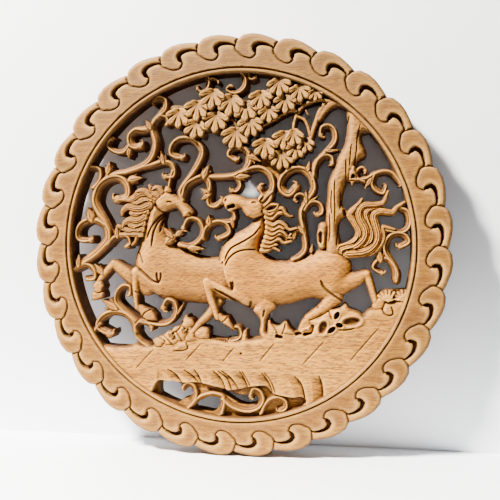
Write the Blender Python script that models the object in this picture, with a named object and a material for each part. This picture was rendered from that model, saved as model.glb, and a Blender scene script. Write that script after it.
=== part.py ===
"""Carved wall panel: a round pierced relief of two galloping horses under a tree, cut from one board.

The panel hangs flat on a wall. It faces -Y, its back lies in the plane y = 0, and the origin is the
hanging point on the back of the border at the top.
"""
import math

import bmesh
import bpy
import numpy as np

# Driving dimensions of the board and its border, in metres
BORDER_WIDTH = 0.037          # edge of the pierced field to the tips of the border's waves
OPENING_RADIUS = 0.163        # centre to the edge of the pierced field
PANEL_RADIUS = OPENING_RADIUS + BORDER_WIDTH
THICKNESS = 0.024             # back plane to the border's face
WAVES = 32                    # curling waves around the border
WAVE_DEPTH = 0.0047           # how far a notch between two waves is cut in
WAVE_START = math.radians(12.05)   # first notch, clockwise from the top
BEAD_WIDTH = 0.0043           # round bead between the opening and the groove
BEAD_DROP = 0.0012            # how far the bead's sides fall
GROOVE_WIDTH = 0.0020         # groove outside the bead
GROOVE_DEPTH = 0.0016
WAVE_LINE_DEPTH = 0.0014      # cut line along each wave's head
HOLLOW_DEPTH = 0.0048         # scooped hollow under each wave
LIP_DROP = 0.0022             # rounding of the outer edge
LIP_SHARE = 0.1               # width of that rounding, as a share of the border's width

# One wave, as shares of the pitch and of the width between the groove and the tips of the waves
WAVE_RISE = ([0, 0.12, 0.33, 0.54, 0.79, 1], [0, 0.68, 1, 0.9, 0.47, 0])
WAVE_HEAD = [
    (0, 0.86), (-0.05, 0.72), (-0.075, 0.6), (-0.053, 0.49), (0.013, 0.42), (0.1, 0.335), (0.187, 0.287),
    (0.31, 0.263), (0.41, 0.297), (0.48, 0.40),
]
WAVE_HOLLOW = [
    (0.48, 0.40), (0.4, 0.467), (0.364, 0.606), (0.418, 0.698), (0.533, 0.747), (0.667, 0.747),
    (0.81, 0.704), (0.9, 0.648), (0.933, 0.575),
]
WAVE_BACK = [(0.94, 0.75), (1, 0.86), (1, 1.3), (0, 1.3)]
HOLLOW_SHARE = 0.15           # half width of the scooped hollow
LINE_SHARE = 0.03             # half width of the cut line

# How far each layer of the carving lies behind the border's face, in metres
VINE_SET_BACK = 0.0045
LEAF_SET_BACK = 0.0030
TREE_SET_BACK = 0.0025
GROUND_SET_BACK = 0.0022
REAR_HORSE_SET_BACK = 0.0038
FRONT_HORSE_SET_BACK = 0.0010
SCROLL_BED_SET_BACK = 0.0095

# Where the panel hangs: a flat spot on the back, this far inside the tips of the waves
HANG_INSET = 0.022

# The carving is drawn around the disc's centre, right and up, for an opening of this radius
DRAWN_OPENING = 163.0
UNIT = OPENING_RADIUS / DRAWN_OPENING
SHEET_CELL = 1.25             # spacing of the working sheet, in drawing units
VINE_STOUTNESS = 1.12         # widths of the drawn vines are raised by this much
OVERLAP = 0.5                 # how far the ground runs in under the border
BAND_ROUNDNESS = 2.6          # how square a band's section is
TIP_SHARE = 0.12              # last share of a band, where its tip swells
TRIANGLES = 9600
FLATNESS = 0.0002             # reduced points this near the back plane are put on it

WOOD_COLOUR = (0.56, 0.36, 0.19, 1.0)
WOOD_ROUGHNESS = 0.62

# Vines, drawn root to tip: points, width at the root, width at the tip, swelling of the tip
VINES = [
    ([(-149, 74), (-145, 76), (-139, 76), (-134.5, 72), (-135, 65), (-140, 57)], 4.5, 5, 0),
    ([(-105, 97), (-110, 92), (-116, 91), (-122, 93.5), (-125.5, 98), (-123, 104)], 5, 5, 0),
    ([(-82, 114), (-90, 111.5), (-98, 111), (-103.5, 106.5), (-104, 100.5), (-101, 96), (-93.5, 96)], 8, 6,
     1),
    ([(-126, 68), (-105, 72), (-86.5, 80.5), (-78.5, 97), (-81.5, 115), (-72.5, 127), (-69, 133),
     (-69.5, 139), (-74, 142), (-79.5, 140)], 6.5, 6.5, 0),
    ([(-81, 110), (-80, 119), (-75.5, 123.5), (-70, 123.5), (-66.8, 120), (-67, 116.5)], 5, 3.5, 0),
    ([(-161, -22), (-147, -14), (-128.5, 3), (-126.5, 12), (-129, 21), (-138.5, 38), (-139.5, 47),
     (-136, 57), (-128, 64), (-118, 66), (-110.5, 62.5), (-106.5, 55), (-108, 47.5), (-117, 44.5)], 8.5, 7,
     1),
    ([(-129, 20), (-138, 24), (-146, 24.5), (-154, 20.5), (-157.5, 13), (-155, 6), (-144, 5)], 7, 5, 1),
    ([(-127, 1), (-121, 7), (-114, 9.5), (-107.5, 8), (-105, 3.5), (-106.5, -0.5)], 5, 4, 1),
    ([(-52, 43), (-53.5, 53), (-42, 69.5), (-33.2, 87), (-36, 96), (-42.5, 101), (-50, 102.5),
     (-57.5, 100.5), (-62.3, 94.5), (-62, 87.5), (-52.5, 84)], 6, 5.5, 0),
    ([(-92, 76), (-82, 78), (-73, 80), (-65.5, 79), (-61, 74), (-61.5, 67.5), (-69, 66)], 6, 4.5, 1),
    ([(-61.5, 72), (-64, 64), (-66, 52)], 4, 3, 0),
    ([(-52, 48), (-48, 58), (-34, 65.2), (-27.5, 62), (-25.5, 55), (-26, 41.5), (-21.5, 38), (-14, 42)],
     6.5, 5, 1),
    ([(-28, 65.5), (-4, 66.3), (14, 72.8), (24, 72.5), (32, 67), (34.7, 59), (33, 51.5), (27.5, 48.3),
     (23, 54)], 5.5, 5.5, 1),
    ([(-9, 65), (-3, 65), (2, 61.5), (3.5, 57), (0.5, 52.5), (-4, 52)], 5, 4, 1),
    ([(9, 71), (12.3, 79), (11, 87), (5, 92.5), (-2.5, 92), (-6.5, 86.5), (-0.5, 81.5)], 7, 5, 0),
    ([(54, -13), (61, -8.5), (65.5, -1), (63.7, 17), (62.3, 27), (63.5, 36), (72.5, 51), (72.7, 59),
     (69, 67), (61, 72), (52, 71), (45, 65), (42.3, 57), (45, 51), (50.5, 48.8), (57, 55)], 5.2, 7, 0),
    ([(66.5, 38), (65.5, 44.5), (61, 48), (57, 46.5), (56, 43)], 4, 3.5, 0),
    ([(65, 34), (69, 38.5), (75, 40.5), (80, 37), (80.5, 31.5), (76.5, 29)], 4.5, 4.5, 0),
    ([(65, 12), (60, 14), (54.5, 12.5), (48, 6.5)], 4, 2.5, 0),
    ([(73.5, 66), (75, 77), (88, 91), (92.5, 98), (92.5, 106), (87.5, 111), (81.5, 110), (80, 103)], 5.5,
     4.5, 0),
    ([(72.5, 62), (74.5, 72), (78.5, 80), (84, 83.7), (89.5, 81.8), (90.5, 76.5)], 5, 4, 0),
    ([(-55, 1), (-46, 0), (-38.5, 3.5), (-33.5, 10), (-33, 18), (-38, 24.5), (-46, 25.5), (-51, 17)], 5, 4,
     1),
    ([(-32, 7), (-29.5, 15), (-23.5, 21), (-15.5, 22.5), (-9, 19.3), (-7.2, 12.5), (-16.5, 7)], 5, 4.5, 1),
    ([(-12, 23), (-6, 23.5), (-2.2, 26.5), (-3, 32.5)], 4.5, 4.5, 0),
    ([(120, 60), (114.5, 63.5), (113.7, 69), (117.5, 72), (120.7, 69.5)], 4.5, 3.5, 0),
    ([(107, 62), (119, 62), (128, 65.7), (137, 68.2), (145, 66.5), (153, 58)], 4.5, 4.5, 0),
    ([(129.5, 66), (127.7, 58), (131, 51.8), (136.5, 49.2), (139, 55)], 6, 3.5, 0),
    ([(149.5, -32), (149.5, -23), (140.8, -8), (139.3, 0), (142.5, 7.7), (149.5, 11.3), (156.5, 9.5),
     (159.5, 4), (152, -0.5)], 6, 5, 0),
    ([(148.5, -30), (148, -22), (144.5, -15.5), (138.5, -12), (132, -14), (129, -20), (136, -25)], 5.5, 4,
     1),
    ([(-162, -23), (-153, -19.5), (-146, -20), (-141, -25), (-141, -31.5), (-148, -33)], 6, 4, 0),
    ([(-99, -73), (-113, -61), (-118, -53.5), (-117, -45), (-111.5, -39.5), (-105.5, -40.5),
     (-104.5, -47)], 6, 4, 1),
    ([(-99, -83), (-101.5, -74.5), (-108, -67.5), (-117.5, -64.7), (-127.5, -66.3), (-134.7, -72.5),
     (-136, -80), (-125.5, -86.5)], 6, 6.5, 1),
    ([(-135, -76), (-141, -84)], 5, 5, 0),
    ([(-86, -98), (-94, -92), (-98.5, -84.5), (-97.5, -77), (-91, -73), (-83, -79)], 5, 4, 1),
    ([(-94, -73.5), (-82, -75.3), (-70, -75.3), (-62.5, -70.5), (-58.7, -63), (-60.5, -55.5), (-67, -52.7),
     (-71, -60)], 5, 5, 1),
    ([(-27, 164), (-26.5, 156), (-28, 150), (-32, 146.5), (-37, 149.5)], 5, 3.5, 0),
    ([(-27, 157), (-22, 158.5), (-17, 156)], 4, 2.5, 0),
    ([(6, 164), (8.3, 157), (7.7, 150.5), (3, 146), (-3, 145), (-8, 148), (-5.5, 151)], 5.5, 3.5, 0),
    ([(13, 163), (14, 158), (18, 158.5)], 5, 4, 0),
    ([(153, 35), (158.5, 31), (160.5, 24), (159, 17), (153.5, 13.2), (146, 13.5), (137, 15)], 5.5, 3.5, 0),
    ([(-48, -158), (-41.2, -148), (-39.5, -141), (-42, -135), (-47.5, -132.5), (-52, -137)], 5.5, 3.5, 0),
    ([(-44, -154), (-37.5, -147), (-29.5, -142.7), (-20, -142), (-12.7, -146), (-14, -160)], 5, 5, 0),
    ([(-13, -146), (-6, -152), (4, -156), (14, -156.2), (22, -152), (25.2, -145.5), (23, -138.7),
     (17, -136), (14, -143)], 5.5, 4, 0),
    ([(24, -159), (28, -151), (33.5, -145.5), (40.5, -143.8), (46.5, -147), (47, -152.5), (42, -156)], 5,
     5, 0),
    ([(-3, -78.5), (1.5, -78), (4.3, -82.5), (2, -87.5), (-6, -91)], 4, 4.5, 0),
]

# Small leaves and buds on the vines: root, tip, width
BUDS = [
    ((-105, 93), (-105, 83.5), 8), ((-83, 112), (-89, 122.5), 8), ((-70.5, 79), (-73.5, 92), 7),
    ((-126, 70), (-124.5, 83), 10), ((-105, 63), (-91, 66), 11), ((-143, 24), (-147, 38.5), 12),
    ((-157, -21), (-156, -7.5), 9), ((-117, 8), (-118, 21), 7), ((-31, 65), (-26, 78), 11),
    ((-26, 48.5), (-35, 55.5), 7), ((-26, 48.5), (-35, 43.5), 7), ((1, 65), (14.5, 66), 10),
    ((12, 85), (25, 79), 8), ((68, 70), (69, 80), 6), ((84, 88), (98.5, 89), 5.5),
    ((66.5, 40), (66, 53.5), 6), ((69, 40), (78.5, 47.5), 4.5), ((64, 12), (57.5, 20), 7),
    ((56, 14), (54, 3), 6), ((-46, -2), (-30, -3), 9), ((-26, 20), (-26.5, 30.5), 9),
    ((-4, 24), (-2.5, 15.5), 6), ((126, 62), (119.5, 52), 6), ((135, -14), (133.5, -2), 9),
    ((71, -6), (72, 2), 4.5), ((-57.5, -66), (-49.5, -53), 3.6), ((-118, -62), (-135, -52), 11),
    ((-132, -28), (-141, -17), 8), ((-68, 3), (-56, 12), 12), ((-62, 8), (-73, 19), 8),
    ((-58, 10), (-50, 16), 7),
]

# Leaves of the tree: top of each fan, lean in degrees, length, lobes, half spread in degrees
LEAF_FANS = [
    (-55, 131.5, -2, 17, 3, 36), (-37, 138.5, -3, 17.5, 3, 33), (-22, 149, -8, 17.5, 3, 36),
    (-38, 120.5, -13, 17, 3, 33), (-19, 127.5, -4, 18, 3, 32), (-4, 143, -12, 18.5, 3, 33),
    (10, 137, -6, 18, 3, 34), (24, 146, -3, 16, 3, 36), (41, 157.5, 3, 16, 3, 36), (60, 151, 4, 15, 3, 40),
    (31, 131.5, 6, 14, 3, 42), (47, 141.5, 0, 15.5, 3, 38), (14, 121.5, 3, 17, 4, 50),
    (0, 112, -1, 19, 4, 46), (28, 101, -3, 17, 3, 34), (46, 108, -4, 15.5, 3, 36),
    (54.5, 109.5, 12, 14.5, 2, 22), (57, 96.5, -6, 13.5, 3, 46), (66, 101.5, -8, 12.5, 3, 40),
    (43, 90.5, 8, 17, 4, 44), (75, 147, 0, 10.5, 3, 42),
]
LOBE_WIDTH = 11.0
LOBE_DROP = 3.0
LOBE_RIB = 0.9
LOBE_SHORTER = 0.12           # how much shorter the outer lobes are
LOBE_LIFT = 0.7               # how far the middle lobes stand above the outer ones
LEAF_STEP = 0.9               # how far one leaf stands above the next

# Branches: points, width at the root, width at the tip
BRANCHES = [
    ([(88, 134), (78, 136), (70, 134), (64, 131), (58.5, 124), (55.3, 116), (54, 106)], 4.4, 3.4),
    ([(59, 126.5), (50, 126), (43, 122.5), (36.5, 118.5), (26, 113)], 3.6, 2.8),
    ([(84, 133), (79, 125), (76, 117), (73.5, 110), (70, 99)], 5, 5),
    ([(70, 103), (67.5, 112), (64.5, 117.5), (58, 121)], 3.8, 3.0),
    ([(78, 118), (85, 128), (95, 133.5), (108, 130)], 6, 9),
    ([(-12, 124), (-3, 118.5), (2, 110)], 3.2, 3.0),
    ([(-68, 130), (-60, 132), (-50, 131)], 5, 5),
    ([(62, 132.5), (48, 135)], 3.2, 3.2),
]

TRUNK = [
    (85, -8), (85, 12), (83.8, 28), (85.5, 45), (86.5, 58), (90, 68), (97, 86), (101, 93), (103, 102),
    (104, 113), (105, 130), (126, 108), (118, 103), (118.5, 95), (121.3, 88), (121.5, 83), (115, 78),
    (112, 71), (108, 63), (103.5, 58), (99.5, 40), (103.5, 33), (103.5, 28), (98.5, 23), (96.5, 14),
    (99, -8),
]
TRUNK_RIM = 7.0
TRUNK_DROP = 4.5
TORN_BARK = ((109.5, 73), (108.5, 56), 9)
ROOT_KNOB = ([(82, 18), (80.5, 9), (81, 0)], 9, 7)
LEAF_BACKING = [(22, 82), (31, 84), (40, 77), (48, 72), (44, 66), (38.5, 60), (36, 66), (24, 74)]
BARK_LINES = [
    [(103, 80), (103, 68), (102.5, 56)],
    [(116, 112), (113.3, 100), (112.6, 88), (110.5, 70)],
    [(93, 62), (93, 36), (92.7, 22)],
]

# The horses, form by form. A limb: points, width at the root, width at the tip, lift above the horse's
# level, drop of its sides. A shape: outline, lift, width of the rounded rim, drop of the rim.
REAR_HORSE = [
    ("limb", [(-119.5, -19), (-110, -26), (-99, -34), (-90, -42)], 10, 18, -1.5, 3),
    ("limb", [(-121.5, -17.5), (-131, -28), (-139.5, -38.5)], 8, 6, -1.5, 3),
    ("shape", [(-143, -36), (-137, -38.5), (-133.5, -44), (-133, -51.5), (-146, -53), (-147, -49),
    (-144.5, -43)],
     -1.5, 4, 3),
    ("limb", [(-22, -58), (-34, -72), (-46, -85)], 8.5, 6, -1.5, 3),
    ("shape", [(-53.5, -88), (-47, -82), (-41, -85), (-38, -91.5), (-50, -92)], -1.5, 3, 2),
    ("shape", [(-74, 50), (-81, 46), (-87, 40), (-91, 32), (-93, 22), (-96, 2), (-100.5, -18), (-98, -28),
               (-90, -38), (-80, -47), (-72, -52.5), (-60, -54), (-25, -55.5), (-8, -50), (0, -35),
      (-2, -14),
               (-14, -10.8), (-28, -10.5), (-40, -8.5), (-50, -4), (-58, 0.5), (-65, 5), (-70, 13),
               (-71.8, 22), (-70, 30), (-69, 37)], 0, 13, 6.5),
    ("shape", [(-80, 45), (-76, 51), (-70, 53.5), (-64, 52), (-57, 47.5), (-50, 42), (-44, 36.5), (-41, 32),
               (-42.5, 28.3), (-47.5, 26.2), (-51.5, 27), (-53.5, 31.5), (-58, 35.5), (-64, 34),
      (-71, 33.3),
               (-77, 37)], 1.2, 9, 5),
    ("shape", [(-69.5, 51), (-68, 57), (-64.5, 56), (-63, 51.5)], 1.5, 3, 2),
    ("limb", [(-99, -25.5), (-90, -33), (-78, -43)], 8.5, 17, 0.8, 2.5),
    ("limb", [(-98.6, -26), (-98.8, -44), (-97.3, -60)], 7.5, 5.6, 0.8, 3),
    ("shape", [(-98.5, -58.5), (-91, -57.5), (-84.5, -62), (-78, -72.5), (-91.5, -73),
    (-96.5, -65.5)], 0, 4, 3),
    ("shape", [(-79, 48), (-86, 52), (-95, 50), (-102, 45), (-99, 37), (-101, 33), (-99, 26), (-102, 22),
               (-98, 18), (-101, 13), (-96, 10), (-93.5, 16), (-90, 34), (-85, 42)], -3, 4, 2),
]
# Locks of mane and tail: points, width at the root, width at the tip
REAR_MANE_LIFT, REAR_MANE_DROP = 0.6, 2.6
REAR_MANE = [
    ([(-79, 47), (-87, 50.5), (-95, 50), (-101, 45.5), (-109, 45)], 6.5, 4),
    ([(-85, 39.5), (-92, 36.5), (-99, 36), (-106, 37.5), (-111, 34), (-112, 29.5)], 6.5, 2.6),
    ([(-88, 33), (-95, 31), (-102, 31.5)], 6, 4),
    ([(-90, 28), (-97, 24.5), (-104, 25), (-109.5, 22), (-111.5, 17.5)], 5.5, 2.6),
    ([(-92.5, 16), (-99, 13.5), (-106, 14.5), (-116, 19)], 5, 3),
    ([(-93.5, 11), (-101, 11), (-114, 10.5)], 4, 3),
    ([(-76, 48.5), (-81, 52), (-84.5, 58)], 5.5, 2.2),
]
FRONT_HORSE = [
    ("limb", [(101, -36), (111, -31.5), (121.5, -26)], 20, 9, -2, 4),
    ("limb", [(122.5, -26), (126.5, -38), (130.5, -52)], 8.5, 6.5, -2, 3.5),
    ("shape", [(127, -54.5), (133.5, -47), (139.5, -48.5), (137, -57), (129.5, -59)], -2, 3, 2.5),
    ("limb", [(95, -50), (82, -58.5), (67.5, -67.5)], 16, 7, -2, 4),
    ("shape", [(59, -80.5), (62.5, -69), (69, -66), (71.5, -72), (72, -80.5)], -2, 3, 2.5),
    ("shape", [(27, 34), (29.5, 24), (29, 12), (25, 2), (24, -4), (30, -9.5), (40, -13.3), (52, -12.8),
               (63, -9.8), (79, -3), (89, -1), (98, -3), (104, -8), (108.3, -16), (109.5, -26),
      (107.5, -36),
               (102, -46), (94, -52.5), (84, -51.5), (67, -50), (46, -55.8), (36, -58), (24, -62),
      (13, -59.5),
               (3, -55), (-6, -46), (-12, -37), (-16.8, -28), (-18.3, -19), (-16.8, -9), (-13.5, 0),
      (-8, 7),
               (0, 12.5), (8, 16.5), (14, 21), (18.5, 27)], 0, 15, 6.5),
    ("shape", [(-13.3, 42.5), (-10, 46.8), (-4, 48.7), (4, 47.8), (11, 45), (19, 44.7), (25.5, 42),
    (28, 35),
               (25.5, 28), (18, 25.2), (11.5, 26.8), (7.5, 31), (4.5, 35), (-1, 34.5), (-4.6, 32.2),
               (-9.3, 35.5), (-11.5, 39)], 0.4, 9, 5),
    ("shape", [(21, 42), (22.5, 47), (26, 48.5), (27, 42)], 0, 3, 2),
    ("limb", [(8, -49), (-9, -43.5), (-27, -34.5)], 13, 10.5, 0, 2.6),
    ("limb", [(-28, -34.5), (-24.5, -48), (-20.5, -59), (-17.5, -68)], 9.5, 6, 0, 3),
    ("shape", [(-20.5, -68), (-16, -65), (-8, -68.5), (-5, -74), (-1.5, -80.5), (-11.5, -77), (-17, -72.5)],
     0, 4, 3),
    ("shape", [(17, -62), (22, -67.5), (23, -74), (22, -81), (24.5, -87), (28, -91), (35.5, -93.5),
               (33.5, -84), (29.2, -80.5), (29.6, -72), (32, -64.5), (38, -58), (28, -50)], -0.6, 5, 3.5),
    ("shape", [(26, 35), (32, 34), (40, 34.5), (37, 25), (42, 20.5), (40, 14), (37, 9), (37, 2), (32, -4),
               (28, -6.5), (23, -2), (28, 8), (29.5, 20)], -5, 4, 2),
]
FRONT_MANE_LIFT, FRONT_MANE_DROP = -0.3, 2.8
TAIL_LIFT, TAIL_DROP = -1.2, 2.4
FRONT_MANE = [
    ([(25, 42), (30, 47), (33, 52)], 5, 4),
    ([(27, 32.5), (33, 29.5), (39, 34), (44, 35), (51, 27.5)], 5.4, 2.6),
    ([(30, 22), (35.5, 19.3), (41, 22), (46.5, 19.3), (50.5, 15.3), (57.5, 16.5)], 5.4, 2.6),
    ([(29.5, 12.8), (35, 10.6), (41, 13.8), (48.5, 9)], 5, 3),
    ([(28.5, 8), (34, 6.9), (44, 11), (50, 8)], 4.5, 3),
    ([(27, 3.7), (33, 2.8), (41.5, 6), (45.5, 2.8), (52.5, 4.5)], 4.5, 2.6),
    ([(24.7, -4.2), (30, -4.5), (35, -1.8), (41.5, -4.6)], 4.5, 2.6),
]
TAIL = [
    ([(96, -3), (106, 0.5), (113.5, 6), (115.3, 14), (106.8, 29), (111, 34.5), (117.5, 43)], 7, 3),
    ([(100, -4.5), (112, -0.5), (119.5, 6.5), (120.8, 15), (115.3, 32), (119.5, 37.2), (137, 40),
     (141.2, 52)], 7.8, 3),
    ([(102, -6), (115, -3.3), (124, 3), (126.6, 12.5), (121.5, 30.5), (127, 35), (138, 34)], 7.8, 3),
    ([(104, -7), (119, -5.8), (128.5, 0), (132.3, 9), (128.5, 28), (134, 31.8), (145, 30.7), (157, 41)],
     7.8, 3),
    ([(108, -8), (122, -7.2), (131.5, -2.5), (136.7, 5), (137, 17.5), (148, 14.5)], 5, 3),
]

# Creases on the horses: points, width, depth
CREASES = [
    ([(-96.5, -22), (-88, -28.5), (-75.5, -36)], 1.8, 2.0),
    ([(-73.5, 34), (-80, 27), (-86, 19), (-90.5, 10)], 2.0, 2.0),
    ([(-71.5, 33), (-78, 24), (-83, 12), (-85, -1)], 2.0, 2.0),
    ([(-26, -30), (-13, -36.5), (-3.5, -42.5)], 2.2, 2.4),
    ([(-20, -41), (-8, -47.3), (2, -53), (13, -58)], 2.0, 2.2),
    ([(80, -32), (84.5, -39.5), (92, -46), (101.5, -52)], 1.8, 1.6),
    ([(23.5, 24), (20.5, 17), (6, 5.7), (-7.5, -4), (-11.8, -16)], 2.2, 2.2),
    ([(19, -3.5), (3, -5), (-4, -8.2), (-12.3, -20), (-14, -27)], 2.0, 2.0),
    ([(-9, 36.9), (-3, 39.6)], 2.8, 3.5),
]

# The ground's outline. It runs on under the border and is trimmed by the opening.
GROUND = [
    (-170, -90), (-130, -97.5), (-105, -98), (-90, -97), (-80, -96), (-75.5, -91), (-75, -87),
    (-66, -83.5), (-60, -82), (-54.5, -76), (-51, -69), (-47.5, -66), (-45, -71), (-41, -78), (-35, -79.5),
    (-30, -77.5), (-28, -85), (-24, -88), (-10, -89.5), (3, -90), (6, -85), (8, -80), (10.5, -81),
    (11.5, -88), (22, -87), (29, -84), (31, -70), (35.5, -74), (41, -75), (46, -71), (49, -73.5),
    (53.5, -80.5), (60, -80), (71, -80), (72.5, -74), (69, -70.5), (77, -66.5), (87, -60), (97, -57.5),
    (103, -53.5), (107, -58), (116, -61.5), (119, -64), (122, -60.5), (127, -57.5), (136, -56.5),
    (137.5, -51), (142, -50.5), (150, -50), (165, -45), (170, -100), (120, -170), (0, -175), (-120, -170),
]
GROUND_RIM = 5.0
GROUND_DROP = 2.5
# Folds of the bank below the ground's front edge: top and foot of each
FOLDS = [
    ((-69, -119), (-60, -131)), ((-57, -119.5), (-44, -132)), ((-43, -117.5), (-34, -131)),
    ((-30, -119.5), (-14, -140)), ((-14, -118.5), (-4, -135)), ((2, -118), (11, -134.5)),
    ((25, -120.5), (34, -138)), ((54, -123), (66, -149)), ((78, -123), (84, -141)),
]
BANK_TOP = -119.0
BANK_ENDS = (-76.5, 92.0)
BANK_STEP = 1.0               # how far the bank lies behind the ground
BANK_SLOPE = 6.0              # height over which it steps back
FOLD_WIDTH = 10.0
FOLD_HEIGHT = 9.0             # height over which a fold grows deep
FOLD_DEPTH = 3.0
BED_SLOPE = 1.5
BANK_PIERCINGS = [
    [(-75.3, -131.5), (-64, -129.7), (-58, -131), (-55, -133.5), (-55, -137), (-51.5, -139.5),
     (-46, -136.7), (-42.8, -142), (-47, -146.8), (-53, -149), (-58, -152.5), (-66, -149.5),
     (-75.3, -144.8)],
    [(-41, -151.5), (-36.5, -147.8), (-30, -145.2), (-20, -144.8), (-14, -148), (-15, -152),
     (-22.5, -159.5), (-32, -158.5), (-41, -156.5)],
    [(-15, -139.5), (-6, -139.5), (1, -142), (11, -142), (15.5, -144.7), (18, -142), (20.8, -146.5),
     (17, -151.2), (10, -152.8), (2, -150.8), (-6, -146.5)],
]
SCROLL_BED = [
    (-78, -131), (-60, -131.5), (-35, -131), (-20, -134), (-5, -137), (12, -133.5), (28, -132), (36, -139),
    (52, -142), (63, -142), (66, -149), (40, -165), (-20, -170), (-80, -160),
]
# Hollows in the rocks at the right: centre, half width, half height, slope in degrees
HOLLOWS = [
    (95, -64.5, 2.6, 3.8, 20), (97.5, -73, 4, 2.4, 0), (90.3, -77.8, 4.4, 2.5, 35), (108, -69, 7, 3.2, 0),
    (82.3, -75.5, 3.8, 5.5, -15),
]
HOLLOW_CUT = 6.0
DASHES = [
    ((-97.5, -118.5), (-80.5, -100)), ((-48.5, -110), (-34.5, -94.5)), ((-12.5, -110), (-2, -97)),
    ((23, -108.5), (36.5, -92)), ((63, -111.5), (83, -89)), ((107.5, -106), (133.5, -75)),
]
# Ribbed fans at the right: hinge, length, first and last direction in degrees
SHELL_FANS = [
    ((147.5, -29), 11.5, -145, -35), ((141.5, -51.5), 11.5, 25, 155), ((156, -50.5), 11, 60, 170),
]
SHELL_RIBS = 12
SHELL_SLOPE = 2.0
SHELL_RIB_HEIGHT = 0.8
DASH_WIDTH, DASH_DEPTH = 1.4, 1.0
BARK_WIDTH, BARK_DEPTH = 1.8, 1.4
VINE_DROP = 3.0
BRANCH_DROP = 2.0


def smooth_line(points, closed=False, steps=4):
    """Points along a Catmull-Rom curve through a few drawn points."""
    p = np.asarray(points, float)
    if closed:
        ends = np.vstack([p[-1:], p, p[:2]])
    else:
        ends = np.vstack([2 * p[0] - p[1], p, 2 * p[-1] - p[-2]])
    t = np.linspace(0, 1, steps, endpoint=False)[:, None]
    spans = []
    for a, b, c, d in zip(ends[:-3], ends[1:-2], ends[2:-1], ends[3:]):
        spans.append(0.5 * (2*b + (c - a)*t + (2*a - 5*b + 4*c - d)*t**2 + (3*b - a - 3*c + d)*t**3))
    line = np.vstack(spans)
    return line if closed else np.vstack([line, p[-1:]])


def band_distance(x, z, line, half_widths):
    """Signed distance to a band along a line, and the distance from its line as a share of its half width."""
    distance = np.full(x.shape, 1e9)
    share = np.full(x.shape, 1e9)
    for a, b, wide_a, wide_b in zip(line[:-1], line[1:], half_widths[:-1], half_widths[1:]):
        along = b - a
        t = np.clip(((x - a[0])*along[0] + (z - a[1])*along[1]) / max(along @ along, 1e-9), 0, 1)
        reach = np.hypot(x - a[0] - t*along[0], z - a[1] - t*along[1])
        half = wide_a + (wide_b - wide_a)*t
        nearer = reach - half < distance
        distance = np.where(nearer, reach - half, distance)
        share = np.where(nearer, reach / np.maximum(half, 1e-6), share)
    return distance, share


def area_distance(x, z, outline):
    """Signed distance to a closed outline, negative inside it."""
    distance = np.full(x.shape, 1e9)
    inside = np.zeros(x.shape, bool)
    for a, b in zip(outline, np.roll(outline, -1, axis=0)):
        along = b - a
        t = np.clip(((x - a[0])*along[0] + (z - a[1])*along[1]) / max(along @ along, 1e-9), 0, 1)
        distance = np.minimum(distance, np.hypot(x - a[0] - t*along[0], z - a[1] - t*along[1]))
        if a[1] != b[1]:
            crossing = (b[0] - a[0])*(z - a[1]) / (b[1] - a[1]) + a[0]
            inside ^= ((a[1] > z) != (b[1] > z)) & (x < crossing)
    return np.where(inside, -distance, distance)


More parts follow.
